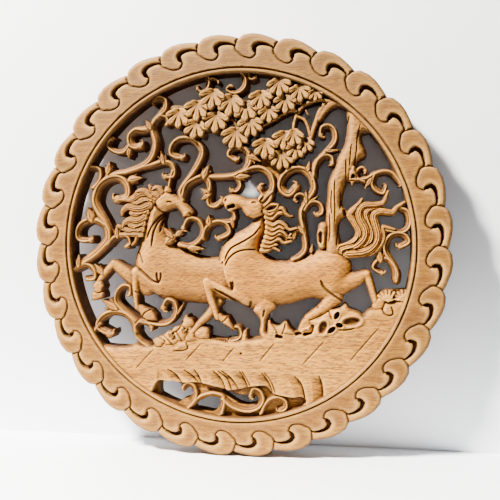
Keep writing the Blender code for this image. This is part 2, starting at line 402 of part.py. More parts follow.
class Carving:
    """A square working sheet: where wood is left (edge < 0) and how high it stands above the back."""

    def __init__(self, half_side, cell):
        self.count = int(math.ceil(2 * half_side / cell))
        self.half = self.count * cell / 2
        self.axis = np.linspace(-self.half, self.half, self.count + 1)
        self.x, self.z = np.meshgrid(self.axis, self.axis)
        self.edge = np.full(self.x.shape, 50.0)
        self.height = np.zeros(self.x.shape)

    def window(self, points, margin):
        """The part of the sheet around some points."""
        low = np.searchsorted(self.axis, np.min(points, axis=0) - margin)
        high = np.searchsorted(self.axis, np.max(points, axis=0) + margin)
        return slice(low[1], high[1] + 1), slice(low[0], high[0] + 1)

    def add(self, window, edge, height, on_top=False):
        """Leave wood inside the edge at this height, on top of or merged with what is there."""
        near = edge < 1.5 * (self.axis[1] - self.axis[0])
        bare = near & (edge >= 0) & (self.edge[window] < 0)
        old = self.height[window]
        raised = height if on_top else np.maximum(old, height)
        self.height[window] = np.where(near & ~bare, raised, old)
        self.edge[window] = np.minimum(self.edge[window], edge)

    def band(self, points, root, tip, top, drop, swell=0.0, on_top=False):
        """A rounded band along a curve, from its root width to its tip width."""
        line = smooth_line(points)
        share = np.linspace(0, 1, len(line))
        half = (root + (tip - root)*share)/2 + swell*np.clip((share - 1 + TIP_SHARE)/TIP_SHARE, 0, 1)
        window = self.window(line, max(root, tip) + 3)
        edge, across = band_distance(self.x[window], self.z[window], line, half)
        self.add(window, edge, top - drop*UNIT*np.clip(across, 0, 1.3)**BAND_ROUNDNESS, on_top)

    def area(self, points, top, rim, drop, smooth=True):
        """A flat form with its rim rounded down."""
        outline = smooth_line(points, True) if smooth else np.asarray(points, float)
        window = self.window(outline, 4)
        edge = area_distance(self.x[window], self.z[window], outline)
        self.add(window, edge, top - drop*UNIT*(1 - np.clip(-edge/rim, 0, 1))**2)

    def petal(self, root, tip, width, top, drop=2.4, rib=0.8, on_top=False):
        """A pointed leaf with a cut line down its middle."""
        root, tip = np.array(root, float), np.array(tip, float)
        share = np.linspace(0, 1, 8)
        line = root + (tip - root)*share[:, None]
        half = width/2*np.sin(np.pi*(0.27 + 0.70*share**1.2))
        window = self.window(line, width)
        edge, across = band_distance(self.x[window], self.z[window], line, half)
        ridge = drop*np.clip(across, 0, 1.3)**2.2 + rib*np.exp(-(across*width/1.6)**2)
        self.add(window, edge, top - UNIT*ridge, on_top)

    def cut(self, points, width, depth):
        """A V cut along a curve."""
        line = smooth_line(points)
        window = self.window(line, width*2)
        edge, across = band_distance(self.x[window], self.z[window], line, np.full(len(line), width/2))
        self.height[window] -= depth*UNIT*np.clip(1.3 - across, 0, 1)

    def pierce(self, points):
        """An opening right through."""
        outline = smooth_line(points, True)
        window = self.window(outline, 8)
        edge = area_distance(self.x[window], self.z[window], outline)
        self.edge[window] = np.maximum(self.edge[window], -edge)


def carve_border(carving):
    """The ring: waves that curl clockwise, hollows under them, a groove and a bead."""
    angle = np.arctan2(carving.x, carving.z)
    radius = np.hypot(carving.x, carving.z)*UNIT
    pitch = 2*math.pi/WAVES
    turn = (angle - WAVE_START) % pitch / pitch

    # A wave's outer edge rises from its notch to the tip of the wave and falls to the next notch
    rise = np.interp(turn, *WAVE_RISE)
    outer = PANEL_RADIUS - WAVE_DEPTH*(1 - rise)
    groove = OPENING_RADIUS + BEAD_WIDTH
    face = THICKNESS - LIP_DROP*np.clip(1 - (outer - radius)/(LIP_SHARE*BORDER_WIDTH), 0, 1)**2

    middle = (PANEL_RADIUS + groove)/2
    scale = np.array([pitch*middle, PANEL_RADIUS - groove])
    head_line = smooth_line(WAVE_HEAD)*scale
    hollow_line = smooth_line(WAVE_HOLLOW)*scale
    closing = np.array(WAVE_BACK)*scale
    outline = np.vstack([head_line, hollow_line[1:], closing])
    across = turn*scale[0]
    up = radius - groove
    rim = (radius > groove) & (radius < PANEL_RADIUS*1.02)
    x, z = across[rim], up[rim]
    head_edge = np.full(x.shape, 1.0)
    line_reach = np.full(x.shape, 1.0)
    hollow_reach = np.full(x.shape, 1.0)
    for shift in (-scale[0], 0.0, scale[0]):
        head_edge = np.minimum(head_edge, area_distance(x + shift, z, outline))
        to_head = band_distance(x + shift, z, head_line, np.zeros(len(head_line)))[0]
        line_reach = np.minimum(line_reach, to_head)
        inner = hollow_line[3:-2]
        to_hollow = band_distance(x + shift, z, inner, np.zeros(len(inner)))[0]
        hollow_reach = np.minimum(hollow_reach, to_hollow)
    hollow_width = HOLLOW_SHARE*scale[1]
    scoop = HOLLOW_DEPTH*np.exp(-(hollow_reach/hollow_width)**2)
    rim_height = np.where(head_edge > 0, face[rim] - scoop, face[rim])
    rim_height -= WAVE_LINE_DEPTH*np.clip(1.2 - line_reach/(LINE_SHARE*scale[1]), 0, 1)
    face[rim] = rim_height

    face -= GROOVE_DEPTH*np.clip(1.2 - np.abs(radius - groove)/(GROOVE_WIDTH/2), 0, 1)
    off_bead = np.abs(radius - OPENING_RADIUS - BEAD_WIDTH/2)/(BEAD_WIDTH/2)
    face = np.where(radius < groove, face - BEAD_DROP*np.clip(off_bead, 0, 1.2)**2.5, face)
    edge = np.maximum(radius - outer, OPENING_RADIUS - radius)/UNIT
    carving.add((slice(None), slice(None)), edge, face)


def carve_ground(carving):
    """The ground along the bottom, its bank with folds, the pierced bed of scrolls, rocks and ribbed fans."""
    top = THICKNESS - GROUND_SET_BACK
    outline = smooth_line(GROUND, True, 3)
    window = carving.window(outline, 4)
    x, z = carving.x[window], carving.z[window]
    edge = area_distance(x, z, outline)
    height = top - GROUND_DROP*UNIT*(1 - np.clip(-edge/GROUND_RIM, 0, 1))**2
    fold = np.zeros(x.shape)
    for (top_x, top_z), (foot_x, foot_z) in FOLDS:
        line_x = top_x + (foot_x - top_x)*np.clip((z - top_z)/(foot_z - top_z), -0.3, 1.6)
        left = line_x - x
        below = np.clip((top_z + 1.5 - z)/FOLD_HEIGHT, 0, 1)
        slope = below*(1 - np.clip(left/FOLD_WIDTH, 0, 1))
        fold = np.maximum(fold, np.where((left > -0.3) & (left < FOLD_WIDTH), slope, 0))
    bank = np.clip((BANK_TOP - z)/BANK_SLOPE, 0, 1)
    bank *= np.clip((BANK_ENDS[1] - x)/(2*BANK_SLOPE), 0, 1)*np.clip((x - BANK_ENDS[0])/BED_SLOPE, 0, 1)
    height -= bank*(BANK_STEP + FOLD_DEPTH*fold)*UNIT
    bed = area_distance(x, z, smooth_line(SCROLL_BED, True))
    bed_height = THICKNESS - SCROLL_BED_SET_BACK
    height = np.where(bed < 0, height + (bed_height - height)*np.clip(-bed/BED_SLOPE, 0, 1), height)
    inside_opening = np.hypot(x, z) - DRAWN_OPENING - OVERLAP
    carving.add(window, np.maximum(edge, inside_opening), height)

    for points in BANK_PIERCINGS:
        carving.pierce(points)
    for centre_x, centre_z, half_x, half_z, slope in HOLLOWS:
        lean = math.radians(slope)
        window = carving.window([(centre_x, centre_z)], half_x + half_z)
        across, up = carving.x[window] - centre_x, carving.z[window] - centre_z
        along = (across*math.cos(lean) + up*math.sin(lean))/half_x
        over = (up*math.cos(lean) - across*math.sin(lean))/half_z
        carving.height[window] -= HOLLOW_CUT*UNIT*np.clip(1.6*(1 - np.hypot(along, over)), 0, 1)
    for dash in DASHES:
        carving.cut(dash, DASH_WIDTH, DASH_DEPTH)


def carve_shell_fans(carving):
    """Three ribbed fans on the rocks at the right."""
    for number, (hinge, length, first, last) in enumerate(SHELL_FANS):
        sweep = np.radians(np.linspace(first, last, 9))
        rim = np.column_stack([hinge[0] + length*np.cos(sweep), hinge[1] + length*np.sin(sweep)])
        outline = np.vstack([[hinge], rim])
        window = carving.window(outline, 3)
        x, z = carving.x[window] - hinge[0], carving.z[window] - hinge[1]
        reach = np.hypot(x, z)/length
        rib = 0.5 + 0.5*np.cos(np.arctan2(z, x)*SHELL_RIBS)
        edge = area_distance(carving.x[window], carving.z[window], outline)
        edge = np.maximum(edge, np.hypot(carving.x[window], carving.z[window]) - DRAWN_OPENING - OVERLAP)
        fall = SHELL_SLOPE*reach**2 + SHELL_RIB_HEIGHT*rib*(reach > 0.55)
        carving.add(window, edge, THICKNESS - 0.5*GROUND_SET_BACK*(1 + number % 2) - UNIT*fall)


def carve_vines(carving):
    """The scrolling vines and their small leaves."""
    top = THICKNESS - VINE_SET_BACK
    for points, root, tip, swell in VINES:
        carving.band(points, root*VINE_STOUTNESS, tip*VINE_STOUTNESS, top, VINE_DROP, swell*0.6)
    for root, tip, width in BUDS:
        carving.petal(root, tip, width, top)


def carve_tree(carving):
    """The trunk, its branches and the fans of leaves."""
    carving.area(TRUNK, THICKNESS - TREE_SET_BACK, TRUNK_RIM, TRUNK_DROP)
    for points in BARK_LINES:
        carving.cut(points, BARK_WIDTH, BARK_DEPTH)
    top = THICKNESS - VINE_SET_BACK
    carving.petal(*TORN_BARK, THICKNESS - TREE_SET_BACK)
    carving.band(*ROOT_KNOB, top, VINE_DROP)
    carving.area(LEAF_BACKING, THICKNESS - 2*VINE_SET_BACK, 3, 1.5)
    for points, root, tip in BRANCHES:
        carving.band(points, root, tip, top, BRANCH_DROP)
    from_the_top = sorted(LEAF_FANS, key=lambda fan: -fan[1])
    for number, (x, z, lean, length, lobes, spread) in enumerate(from_the_top):
        layer = THICKNESS - LEAF_SET_BACK + (number % 3)*LEAF_STEP*UNIT
        middle = (lobes - 1)/2
        for lobe in sorted(range(lobes), key=lambda index: -abs(index - middle)):
            off = (lobe - middle)/middle
            turn = math.radians(lean + spread*off)
            reach = length*(1 - LOBE_SHORTER*abs(off))
            root = (x + 1.5*math.sin(turn), z - 1 - 1.5*math.cos(turn))
            tip = (x + reach*math.sin(turn), z - reach*math.cos(turn))
            lift = LOBE_LIFT*UNIT if abs(off) < 0.6 else 0.0
            carving.petal(root, tip, LOBE_WIDTH, layer + lift, LOBE_DROP, LOBE_RIB, on_top=True)


def carve_forms(carving, forms, top):
    """The limbs and shapes of one horse, in the order given."""
    for kind, points, *sizes in forms:
        if kind == "limb":
            root, tip, lift, drop = sizes
            carving.band(points, root, tip, top + lift*UNIT, drop)
        else:
            lift, rim, drop = sizes
            carving.area(points, top + lift*UNIT, rim, drop)


def carve_rear_horse(carving):
    """The horse behind, which turns its head back to the right."""
    top = THICKNESS - REAR_HORSE_SET_BACK
    carve_forms(carving, REAR_HORSE, top)
    for points, root, tip in REAR_MANE:
        carving.band(points, root, tip, top + REAR_MANE_LIFT*UNIT, REAR_MANE_DROP)


def carve_front_horse(carving):
    """The horse in front, which gallops left with its tail and mane flying."""
    top = THICKNESS - FRONT_HORSE_SET_BACK
    carve_forms(carving, FRONT_HORSE, top)
    for points, root, tip in FRONT_MANE:
        carving.band(points, root, tip, top + FRONT_MANE_LIFT*UNIT, FRONT_MANE_DROP)
    for points, root, tip in TAIL:
        carving.band(points, root, tip, top + TAIL_LIFT*UNIT, TAIL_DROP)
    for points, width, depth in CREASES:
        carving.cut(points, width, depth)


def cut_sheet(carving):
    """Cut a grid sheet along the carving's edge and pull its front up to the carving's height."""
    sheet = bmesh.new()
    bmesh.ops.create_grid(sheet, x_segments=carving.count, y_segments=carving.count, size=carving.half)
    cell = carving.axis[1] - carving.axis[0]
    sheet.verts.ensure_lookup_table()
    edge_at, height_at = {}, {}
    for vert in sheet.verts:
        column = round((vert.co.x + carving.half)/cell)
        row = round((vert.co.y + carving.half)/cell)
        edge_at[vert] = float(carving.edge[row, column])
        height_at[vert] = float(carving.height[row, column])
    outline = []
    for line in list(sheet.edges):
        a, b = line.verts
        if (edge_at[a] < 0) != (edge_at[b] < 0):
            inner, outer = (a, b) if edge_at[a] < 0 else (b, a)
            share = edge_at[inner]/(edge_at[inner] - edge_at[outer])
            outline.append((line, inner, outer, min(max(share, 0.08), 0.92)))
    new_verts = []
    for line, inner, outer, share in outline:
        _, vert = bmesh.utils.edge_split(line, inner, share)
        edge_at[vert] = -1e-6
        height_at[vert] = height_at[inner]
        new_verts.append(vert)
    bmesh.ops.connect_verts(sheet, verts=new_verts)
    waste = [vert for vert in sheet.verts if edge_at[vert] >= 0]
    bmesh.ops.delete(sheet, geom=waste, context="VERTS")

    back = list(sheet.verts)
    raised = bmesh.ops.extrude_face_region(sheet, geom=list(sheet.faces))
    front = [item for item in raised["geom"] if isinstance(item, bmesh.types.BMVert)]
    height_here = {(round(v.co.x, 5), round(v.co.y, 5)): height_at[v] for v in back}
    for vert in front:
        across, up = vert.co.x, vert.co.y
        vert.co = (across*UNIT, -height_here[(round(across, 5), round(up, 5))], up*UNIT)
    for vert in back:
        vert.co = (vert.co.x*UNIT, 0.0, vert.co.y*UNIT)
    bmesh.ops.recalc_face_normals(sheet, faces=sheet.faces)

    # Put everything in order of place, so that each run reduces the facets in the same way
    in_place = sorted(sheet.verts, key=lambda vert: (round(vert.co.z, 7), round(vert.co.x, 7), vert.co.y))
    for number, vert in enumerate(in_place):
        vert.index = number
    sheet.verts.sort()
    for group in (sheet.edges, sheet.faces):
        for number, item in enumerate(sorted(group, key=lambda item: sorted(v.index for v in item.verts))):
            item.index = number
        group.sort()
    return sheet


def make_panel(collection, material):
    """The panel as one solid, with its facets kept few and its back flat."""
    carving = Carving(PANEL_RADIUS*1.02/UNIT, SHEET_CELL)
    carve_border(carving)
    carve_ground(carving)
    carve_shell_fans(carving)
    carve_vines(carving)
    carve_tree(carving)
    carve_rear_horse(carving)
    carve_front_horse(carving)
    sheet = cut_sheet(carving)
    mesh = bpy.data.meshes.new("carved_panel")
    sheet.to_mesh(mesh)
    sheet.free()
    panel = bpy.data.objects.new("carved_panel", mesh)
    collection.objects.link(panel)

    facets = panel.modifiers.new("fewer facets", "DECIMATE")
    facets.ratio = TRIANGLES/sum(len(face.vertices) - 2 for face in mesh.polygons)
    facets.use_collapse_triangulate = True
    bpy.context.view_layer.update()
    reduced = bpy.data.meshes.new_from_object(panel.evaluated_get(bpy.context.evaluated_depsgraph_get()))
    panel.modifiers.remove(facets)
    panel.data = reduced
    bpy.data.meshes.remove(mesh)
    reduced.name = "carved_panel"
    for vertex in reduced.vertices:
        vertex.co.y = 0.0 if vertex.co.y > -FLATNESS else max(vertex.co.y, -THICKNESS)
    reduced.materials.clear()
    reduced.materials.append(material)
    # The origin is the hanging point, so the disc's centre lies below it
    panel.location = (0.0, 0.0, HANG_INSET - PANEL_RADIUS)
    return panel


def wood_material():
    wood = bpy.data.materials.new("carved_wood")
    wood.use_nodes = True
    shader = wood.node_tree.nodes["Principled BSDF"]
    shader.inputs["Base Color"].default_value = WOOD_COLOUR
    shader.inputs["Roughness"].default_value = WOOD_ROUGHNESS
    shader.inputs["Metallic"].default_value = 0.0
    return wood


def main():
    for item in list(bpy.data.objects):
        bpy.data.objects.remove(item, do_unlink=True)
    collection = bpy.data.collections.new("carved wall panel")
    bpy.context.scene.collection.children.link(collection)
    make_panel(collection, wood_material())


main()
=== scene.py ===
"""Carved wall panel: galloping horses under a tree, in a border of curling waves."""
import math

import bmesh
import bpy
import numpy as np
from mathutils import Matrix, Vector


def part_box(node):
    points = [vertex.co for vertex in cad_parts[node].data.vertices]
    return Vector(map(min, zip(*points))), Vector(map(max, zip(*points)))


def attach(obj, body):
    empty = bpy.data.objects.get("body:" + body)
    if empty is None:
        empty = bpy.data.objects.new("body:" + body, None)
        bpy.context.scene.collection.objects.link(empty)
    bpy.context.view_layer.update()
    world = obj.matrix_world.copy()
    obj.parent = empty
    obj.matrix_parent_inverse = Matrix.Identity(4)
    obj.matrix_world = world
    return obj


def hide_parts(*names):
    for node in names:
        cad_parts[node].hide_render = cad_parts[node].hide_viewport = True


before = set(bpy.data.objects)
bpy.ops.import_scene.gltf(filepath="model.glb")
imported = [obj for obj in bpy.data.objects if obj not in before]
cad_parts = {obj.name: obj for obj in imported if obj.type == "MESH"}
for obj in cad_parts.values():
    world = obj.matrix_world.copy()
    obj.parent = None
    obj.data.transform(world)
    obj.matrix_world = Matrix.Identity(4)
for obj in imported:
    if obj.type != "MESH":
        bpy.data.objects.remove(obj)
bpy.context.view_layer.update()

# The border is one ring of wood: curling waves outside, then a groove and a round bead at the opening.
# It is cut from the same board as the rest, in light wood with fine level grain and cuts darkened by painted
# shade.
# Every size is in millimetres as drawn around the disc's centre, and scaled to the imported model.
DRAWN_WIDTH = 398.44
low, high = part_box("carved_panel")
unit = (high[0] - low[0])/DRAWN_WIDTH
board = (high[1] - low[1])/unit
centre = Vector(((low[0] + high[0])/2, high[1], -0.178))
opening = 163.0
wave_tips = 199.85


def smooth_line(points, closed=False, steps=6):
    """Points along a Catmull-Rom curve through a few drawn points."""
    drawn = np.asarray(points, float)
    if closed:
        ends = np.vstack([drawn[-1:], drawn, drawn[:2]])
    else:
        ends = np.vstack([2*drawn[0] - drawn[1], drawn, 2*drawn[-1] - drawn[-2]])
    t = np.linspace(0, 1, steps, endpoint=False)[:, None]
    spans = []
    for before, start, end, beyond in zip(ends[:-3], ends[1:-2], ends[2:-1], ends[3:]):
        slope = end - before
        curve = 2*before - 5*start + 4*end - beyond
        twist = 3*start - before - 3*end + beyond
        spans.append(0.5*(2*start + slope*t + curve*t**2 + twist*t**3))
    if not closed:
        spans.append(drawn[-1:])
    return np.vstack(spans)


def band_distance(x, z, line, half_widths):
    """Distance to a band's edge, share of its half width from its line, side, and place along it."""
    distance = np.full(x.shape, 1e9)
    across = np.full(x.shape, 1e9)
    side = np.zeros(x.shape)
    place = np.zeros(x.shape)
    run = np.concatenate([[0], np.cumsum(np.hypot(*np.diff(line, axis=0).T))])
    for k in range(len(line) - 1):
        start = line[k]
        along = line[k + 1] - start
        dx, dz = x - start[0], z - start[1]
        t = np.clip((dx*along[0] + dz*along[1])/max(along @ along, 1e-9), 0, 1)
        reach = np.hypot(dx - t*along[0], dz - t*along[1])
        half = half_widths[k] + (half_widths[k + 1] - half_widths[k])*t
        nearer = reach - half < distance
        distance = np.where(nearer, reach - half, distance)
        across = np.where(nearer, reach/np.maximum(half, 1e-6), across)
        side = np.where(nearer, np.sign(along[0]*dz - along[1]*dx), side)
        place = np.where(nearer, run[k] + t*(run[k + 1] - run[k]), place)
    return distance, across, side, place


def area_distance(x, z, outline):
    """Signed distance to a closed outline, negative inside it."""
    distance = np.full(x.shape, 1e9)
    inside = np.zeros(x.shape, bool)
    for start, end in zip(outline, np.roll(outline, -1, axis=0)):
        along = end - start
        dx, dz = x - start[0], z - start[1]
        t = np.clip((dx*along[0] + dz*along[1])/max(along @ along, 1e-9), 0, 1)
        distance = np.minimum(distance, np.hypot(dx - t*along[0], dz - t*along[1]))
        if start[1] != end[1]:
            inside ^= ((start[1] > z) != (end[1] > z)) & (dx < along[0]/along[1]*dz)
    return np.where(inside, -distance, distance)


def blurred(values, cells):
    """Values with each one averaged over a square around it, three times over."""
    size = 2*cells + 1
    for _ in range(3):
        for axis in (0, 1):
            beyond = [(cells + 1, cells) if k == axis else (0, 0) for k in (0, 1)]
            start = np.zeros_like(np.take(values, [0], axis))
            sums = np.concatenate([start, np.cumsum(np.pad(values, beyond, mode="edge"), axis)], axis)
            upper = np.take(sums, range(size + 1, sums.shape[axis]), axis)
            lower = np.take(sums, range(1, sums.shape[axis] - size), axis)
            values = (upper - lower)/size
    return values


def placed(x, height, z):
    """Points of the drawing, with their height above the back, in the model's own frame."""
    return np.column_stack([centre.x + x*unit, centre.y - height*unit, centre.z + z*unit])


def make_mesh(name, points, faces, hollow, ridge):
    """A mesh from point rows and face rows, with how hollow or raised each point is."""
    mesh = bpy.data.meshes.new(name)
    mesh.vertices.add(len(points))
    mesh.vertices.foreach_set("co", points.ravel())
    corners = np.concatenate([rows.ravel() for rows in faces])
    sizes = np.concatenate([np.full(len(rows), rows.shape[1]) for rows in faces])
    mesh.loops.add(len(corners))
    mesh.loops.foreach_set("vertex_index", corners)
    mesh.polygons.add(len(sizes))
    mesh.polygons.foreach_set("loop_start", np.concatenate([[0], np.cumsum(sizes)[:-1]]))
    mesh.update(calc_edges=True)
    mesh.validate()
    for label, values in (("hollow", hollow), ("ridge", ridge)):
        mesh.attributes.new(label, "FLOAT", "POINT").data.foreach_set("value", values)
    return mesh


def close_back(mesh):
    """Fill the mesh's open edges, all of which lie in the back plane."""
    work = bmesh.new()
    work.from_mesh(mesh)
    open_edges = [edge for edge in work.edges if edge.is_boundary]
    made = bmesh.ops.triangle_fill(work, edges=open_edges)
    for face in made["geom"]:
        if isinstance(face, bmesh.types.BMFace) and face.normal.y < 0:
            face.normal_flip()
    work.to_mesh(mesh)
    work.free()


def finish_piece(name, mesh, material, crease=38):
    """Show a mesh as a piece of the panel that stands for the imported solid."""
    mesh.materials.append(material)
    mesh.shade_smooth()
    mesh.set_sharp_from_angle(angle=math.radians(crease))
    piece = bpy.data.objects.new(name, mesh)
    bpy.context.scene.collection.objects.link(piece)
    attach(piece, "root")
    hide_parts("carved_panel")
    return piece


def new_group(name, inputs, outputs):
    """An empty shader group with named sockets: (name, type, default) in, (name, type) out."""
    group = bpy.data.node_groups.new(name, "ShaderNodeTree")
    for label, kind, value in inputs:
        socket = group.interface.new_socket(label, in_out="INPUT", socket_type="NodeSocket" + kind)
        if value is not None:
            socket.default_value = value
    for label, kind in outputs:
        group.interface.new_socket(label, in_out="OUTPUT", socket_type="NodeSocket" + kind)
    return group, group.nodes.new("NodeGroupInput"), group.nodes.new("NodeGroupOutput")


def stretched_noise(tree, scale, stretch, detail=3.0, roughness=0.55):
    """Noise drawn out along the grain: stretch gives how tight it is along X, Y and Z."""
    place = tree.nodes.new("ShaderNodeTexCoord")
    squeeze = tree.nodes.new("ShaderNodeMapping")
    squeeze.inputs["Scale"].default_value = stretch
    noise = tree.nodes.new("ShaderNodeTexNoise")
    noise.inputs["Scale"].default_value = scale
    noise.inputs["Detail"].default_value = detail
    noise.inputs["Roughness"].default_value = roughness
    tree.links.new(place.outputs["Object"], squeeze.inputs["Vector"])
    tree.links.new(squeeze.outputs["Vector"], noise.inputs["Vector"])
    return noise.outputs["Fac"]


def ranged(tree, value, low_in, high_in, low_out=0.0, high_out=1.0):
    """A value moved from one range to another, and held inside it."""
    node = tree.nodes.new("ShaderNodeMapRange")
    node.inputs["From Min"].default_value = low_in
    node.inputs["From Max"].default_value = high_in
    node.inputs["To Min"].default_value = low_out
    node.inputs["To Max"].default_value = high_out
    tree.links.new(value, node.inputs["Value"])
    return node.outputs["Result"]


def mixed(tree, factor, first, second, blend="MIX"):
    """Two colours mixed; each may be a socket or a plain colour."""
    node = tree.nodes.new("ShaderNodeMix")
    node.data_type = "RGBA"
    node.blend_type = blend
    for value, label in ((factor, "Factor"), (first, "A"), (second, "B")):
        socket = node.inputs[label]
        if isinstance(value, bpy.types.NodeSocket):
            tree.links.new(value, socket)
        else:
            socket.default_value = value
    return node.outputs["Result"]


def computed(tree, operation, first, second=None):
    """One step of arithmetic on two values, each a socket or a number."""
    node = tree.nodes.new("ShaderNodeMath")
    node.operation = operation
    for value, socket in ((first, node.inputs[0]), (second, node.inputs[1])):
        if isinstance(value, bpy.types.NodeSocket):
            tree.links.new(value, socket)
        elif value is not None:
            socket.default_value = value
    return node.outputs[0]


# Fine level grain: broad light and dark bands, thin streaks, a fine mottle and short dark pores
grain_group, grain_in, grain_out = new_group(
    "level grain",
    [("Light wood", "Color", (0.62, 0.41, 0.22, 1)), ("Dark wood", "Color", (0.42, 0.24, 0.11, 1)),
     ("Pores", "Float", 0.5)],
    [("Color", "Color"), ("Height", "Float")])
bands = ranged(grain_group, stretched_noise(grain_group, 14, (0.6, 1.0, 2.6)), 0.32, 0.68)
streaks = ranged(grain_group, stretched_noise(grain_group, 90, (0.18, 0.8, 4.0), 4), 0.36, 0.66)
pores = ranged(grain_group, stretched_noise(grain_group, 430, (0.36, 0.9, 2.2), 2), 0.48, 0.62)
mottle = ranged(grain_group, stretched_noise(grain_group, 650, (0.8, 1.0, 1.2), 2), 0.34, 0.66)
tone = computed(grain_group, "ADD", computed(grain_group, "MULTIPLY", streaks, 0.55),
                computed(grain_group, "MULTIPLY", bands, 0.35))
tone = computed(grain_group, "ADD", tone, computed(grain_group, "MULTIPLY", mottle, 0.34))
plain = mixed(grain_group, tone, grain_in.outputs["Light wood"], grain_in.outputs["Dark wood"])
pore_brown = (0.13, 0.052, 0.016, 1)
pore_shade = computed(grain_group, "MULTIPLY", pores, grain_in.outputs["Pores"])
pored = mixed(grain_group, pore_shade, plain, pore_brown)
grain_group.links.new(pored, grain_out.inputs["Color"])
relief = computed(grain_group, "SUBTRACT", computed(grain_group, "MULTIPLY", streaks, 0.3), pores)
grain_group.links.new(relief, grain_out.inputs["Height"])

# Painted shade, partly old brown stain, in hollows; painted highlight, partly wear, on edges; painted shade
# higher up
shade_stain_group, shade_stain_in, shade_stain_out = new_group(
    "shaded and stained hollows",
    [("Wood", "Color", (0.6, 0.4, 0.2, 1)), ("Shade and stain", "Color", (0.052, 0.019, 0.006, 1)),
     ("Depth", "Float", 1.0)],
    [("Color", "Color")])
hollow_mark = shade_stain_group.nodes.new("ShaderNodeAttribute")
hollow_mark.attribute_name = "hollow"
ridge_mark = shade_stain_group.nodes.new("ShaderNodeAttribute")
ridge_mark.attribute_name = "ridge"
blotches = ranged(shade_stain_group, stretched_noise(shade_stain_group, 120, (1, 1, 1), 4), 0.3, 0.7, 0.7, 1.15)
# Painted shade, partly also old stain: the hollow mark darkens hollows, cuts and walls
shade_stain_share = computed(shade_stain_group, "MULTIPLY", hollow_mark.outputs["Fac"], blotches)
shade_stain_share = computed(shade_stain_group, "MULTIPLY", shade_stain_share, shade_stain_in.outputs["Depth"])
shade_stain_share = ranged(shade_stain_group, shade_stain_share, 0, 1, 0, 0.92)
stained = mixed(shade_stain_group, shade_stain_share, shade_stain_in.outputs["Wood"], shade_stain_in.outputs["Shade and stain"])
# Painted highlight, partly also rubbed wear: raised edges are turned lighter and golder
highlight_wear_gold = (0.66, 0.36, 0.10, 1)
top_shade_brown = (0.10, 0.055, 0.020, 1)
highlight_wear_share = computed(shade_stain_group, "MULTIPLY", ridge_mark.outputs["Fac"], 0.35)
highlighted_rubbed = mixed(shade_stain_group, highlight_wear_share, stained, highlight_wear_gold)
# Painted shade: the wood is darkened higher up, as if less light fell there
spot = shade_stain_group.nodes.new("ShaderNodeTexCoord")
parted = shade_stain_group.nodes.new("ShaderNodeSeparateXYZ")
shade_stain_group.links.new(spot.outputs["Object"], parted.inputs["Vector"])
upward = ranged(shade_stain_group, parted.outputs["Z"], -0.15, 0.0, 0, 0.5)
top_shaded = mixed(shade_stain_group, upward, highlighted_rubbed, top_shade_brown)
shade_stain_group.links.new(top_shaded, shade_stain_out.inputs["Color"])


def wood(name, light, dark, pore_share=0.45, shade_stain_depth=1.0, roughness=0.6):
    """Carved wood of one tone, with grain, pores, and painted shade, partly also stain, in its hollows."""
    material = bpy.data.materials.new(name)
    material.use_nodes = True
    tree = material.node_tree
    shader = tree.nodes["Principled BSDF"]
    shader.inputs["Roughness"].default_value = roughness
    shader.inputs["Specular IOR Level"].default_value = 0.12
    grain = tree.nodes.new("ShaderNodeGroup")
    grain.node_tree = grain_group
    grain.inputs["Light wood"].default_value = (*light, 1)
    grain.inputs["Dark wood"].default_value = (*dark, 1)
    grain.inputs["Pores"].default_value = pore_share
    shade_and_stain = tree.nodes.new("ShaderNodeGroup")
    shade_and_stain.node_tree = shade_stain_group
    shade_and_stain.inputs["Depth"].default_value = shade_stain_depth
    bump = tree.nodes.new("ShaderNodeBump")
    bump.inputs["Strength"].default_value = 0.35
    bump.inputs["Distance"].default_value = 0.0004
    tree.links.new(grain.outputs["Color"], shade_and_stain.inputs["Wood"])
    tree.links.new(shade_and_stain.outputs["Color"], shader.inputs["Base Color"])
    tree.links.new(grain.outputs["Height"], bump.inputs["Height"])
    tree.links.new(bump.outputs["Normal"], shader.inputs["Normal"])
    return material


border_wood = wood("border wood", (0.316, 0.140, 0.019), (0.121, 0.047, 0.006), 1.0)

waves = 32
points_per_wave = 44
wave_start = math.radians(12.05)
notch_depth = 4.7
bead = 4.3
groove_width = 2.0
groove_depth = 1.8
lip_width = 4.0
lip_drop = 2.6
scoop_depth = 7.0
line_depth = 1.3
bead_drop = 1.5
wall_step = 5
around, outward = waves*points_per_wave, 60
angle = wave_start + np.linspace(0, 2*math.pi, around, endpoint=False)
pitch = 2*math.pi/waves
turn = (np.arange(around) % points_per_wave)/points_per_wave
rise = np.interp(turn, [0, 0.12, 0.33, 0.54, 0.79, 1], [0, 0.68, 1, 0.9, 0.47, 0])
outer = wave_tips - notch_depth*(1 - rise)
share = np.linspace(0, 1, outward + 1)
radius = opening + (outer[:, None] - opening)*share
turns = np.repeat(turn[:, None], outward + 1, 1)
groove = opening + bead
face_height = np.full(radius.shape, board)
lip = np.clip(1 - (outer[:, None] - radius)/lip_width, 0, 1)
face_height -= lip_drop*lip**2.2

# A wave's head and the hollow under it: shares of one pitch, and of the width outside the groove
head = [(0, 0.86), (-0.05, 0.72), (-0.075, 0.6), (-0.053, 0.49), (0.013, 0.42), (0.1, 0.335), (0.187, 0.287),
        (0.31, 0.263), (0.41, 0.297), (0.48, 0.40)]
hollow_edge = [(0.48, 0.40), (0.4, 0.467), (0.364, 0.606), (0.418, 0.698), (0.533, 0.747), (0.667, 0.747),
               (0.81, 0.704), (0.9, 0.648), (0.933, 0.575)]
stretch = np.array([pitch*(wave_tips + groove)/2, wave_tips - groove])
head_line = smooth_line(head)*stretch
hollow_line = smooth_line(hollow_edge)*stretch
closing = np.array([(0.94, 0.75), (1, 0.86), (1, 1.3), (0, 1.3)])*stretch
wave_outline = np.vstack([head_line, hollow_line[1:], closing])
across, up = turns*stretch[0], radius - groove
head_edge = np.full(radius.shape, 99.0)
line_reach = np.full(radius.shape, 99.0)
hollow_reach = np.full(radius.shape, 99.0)
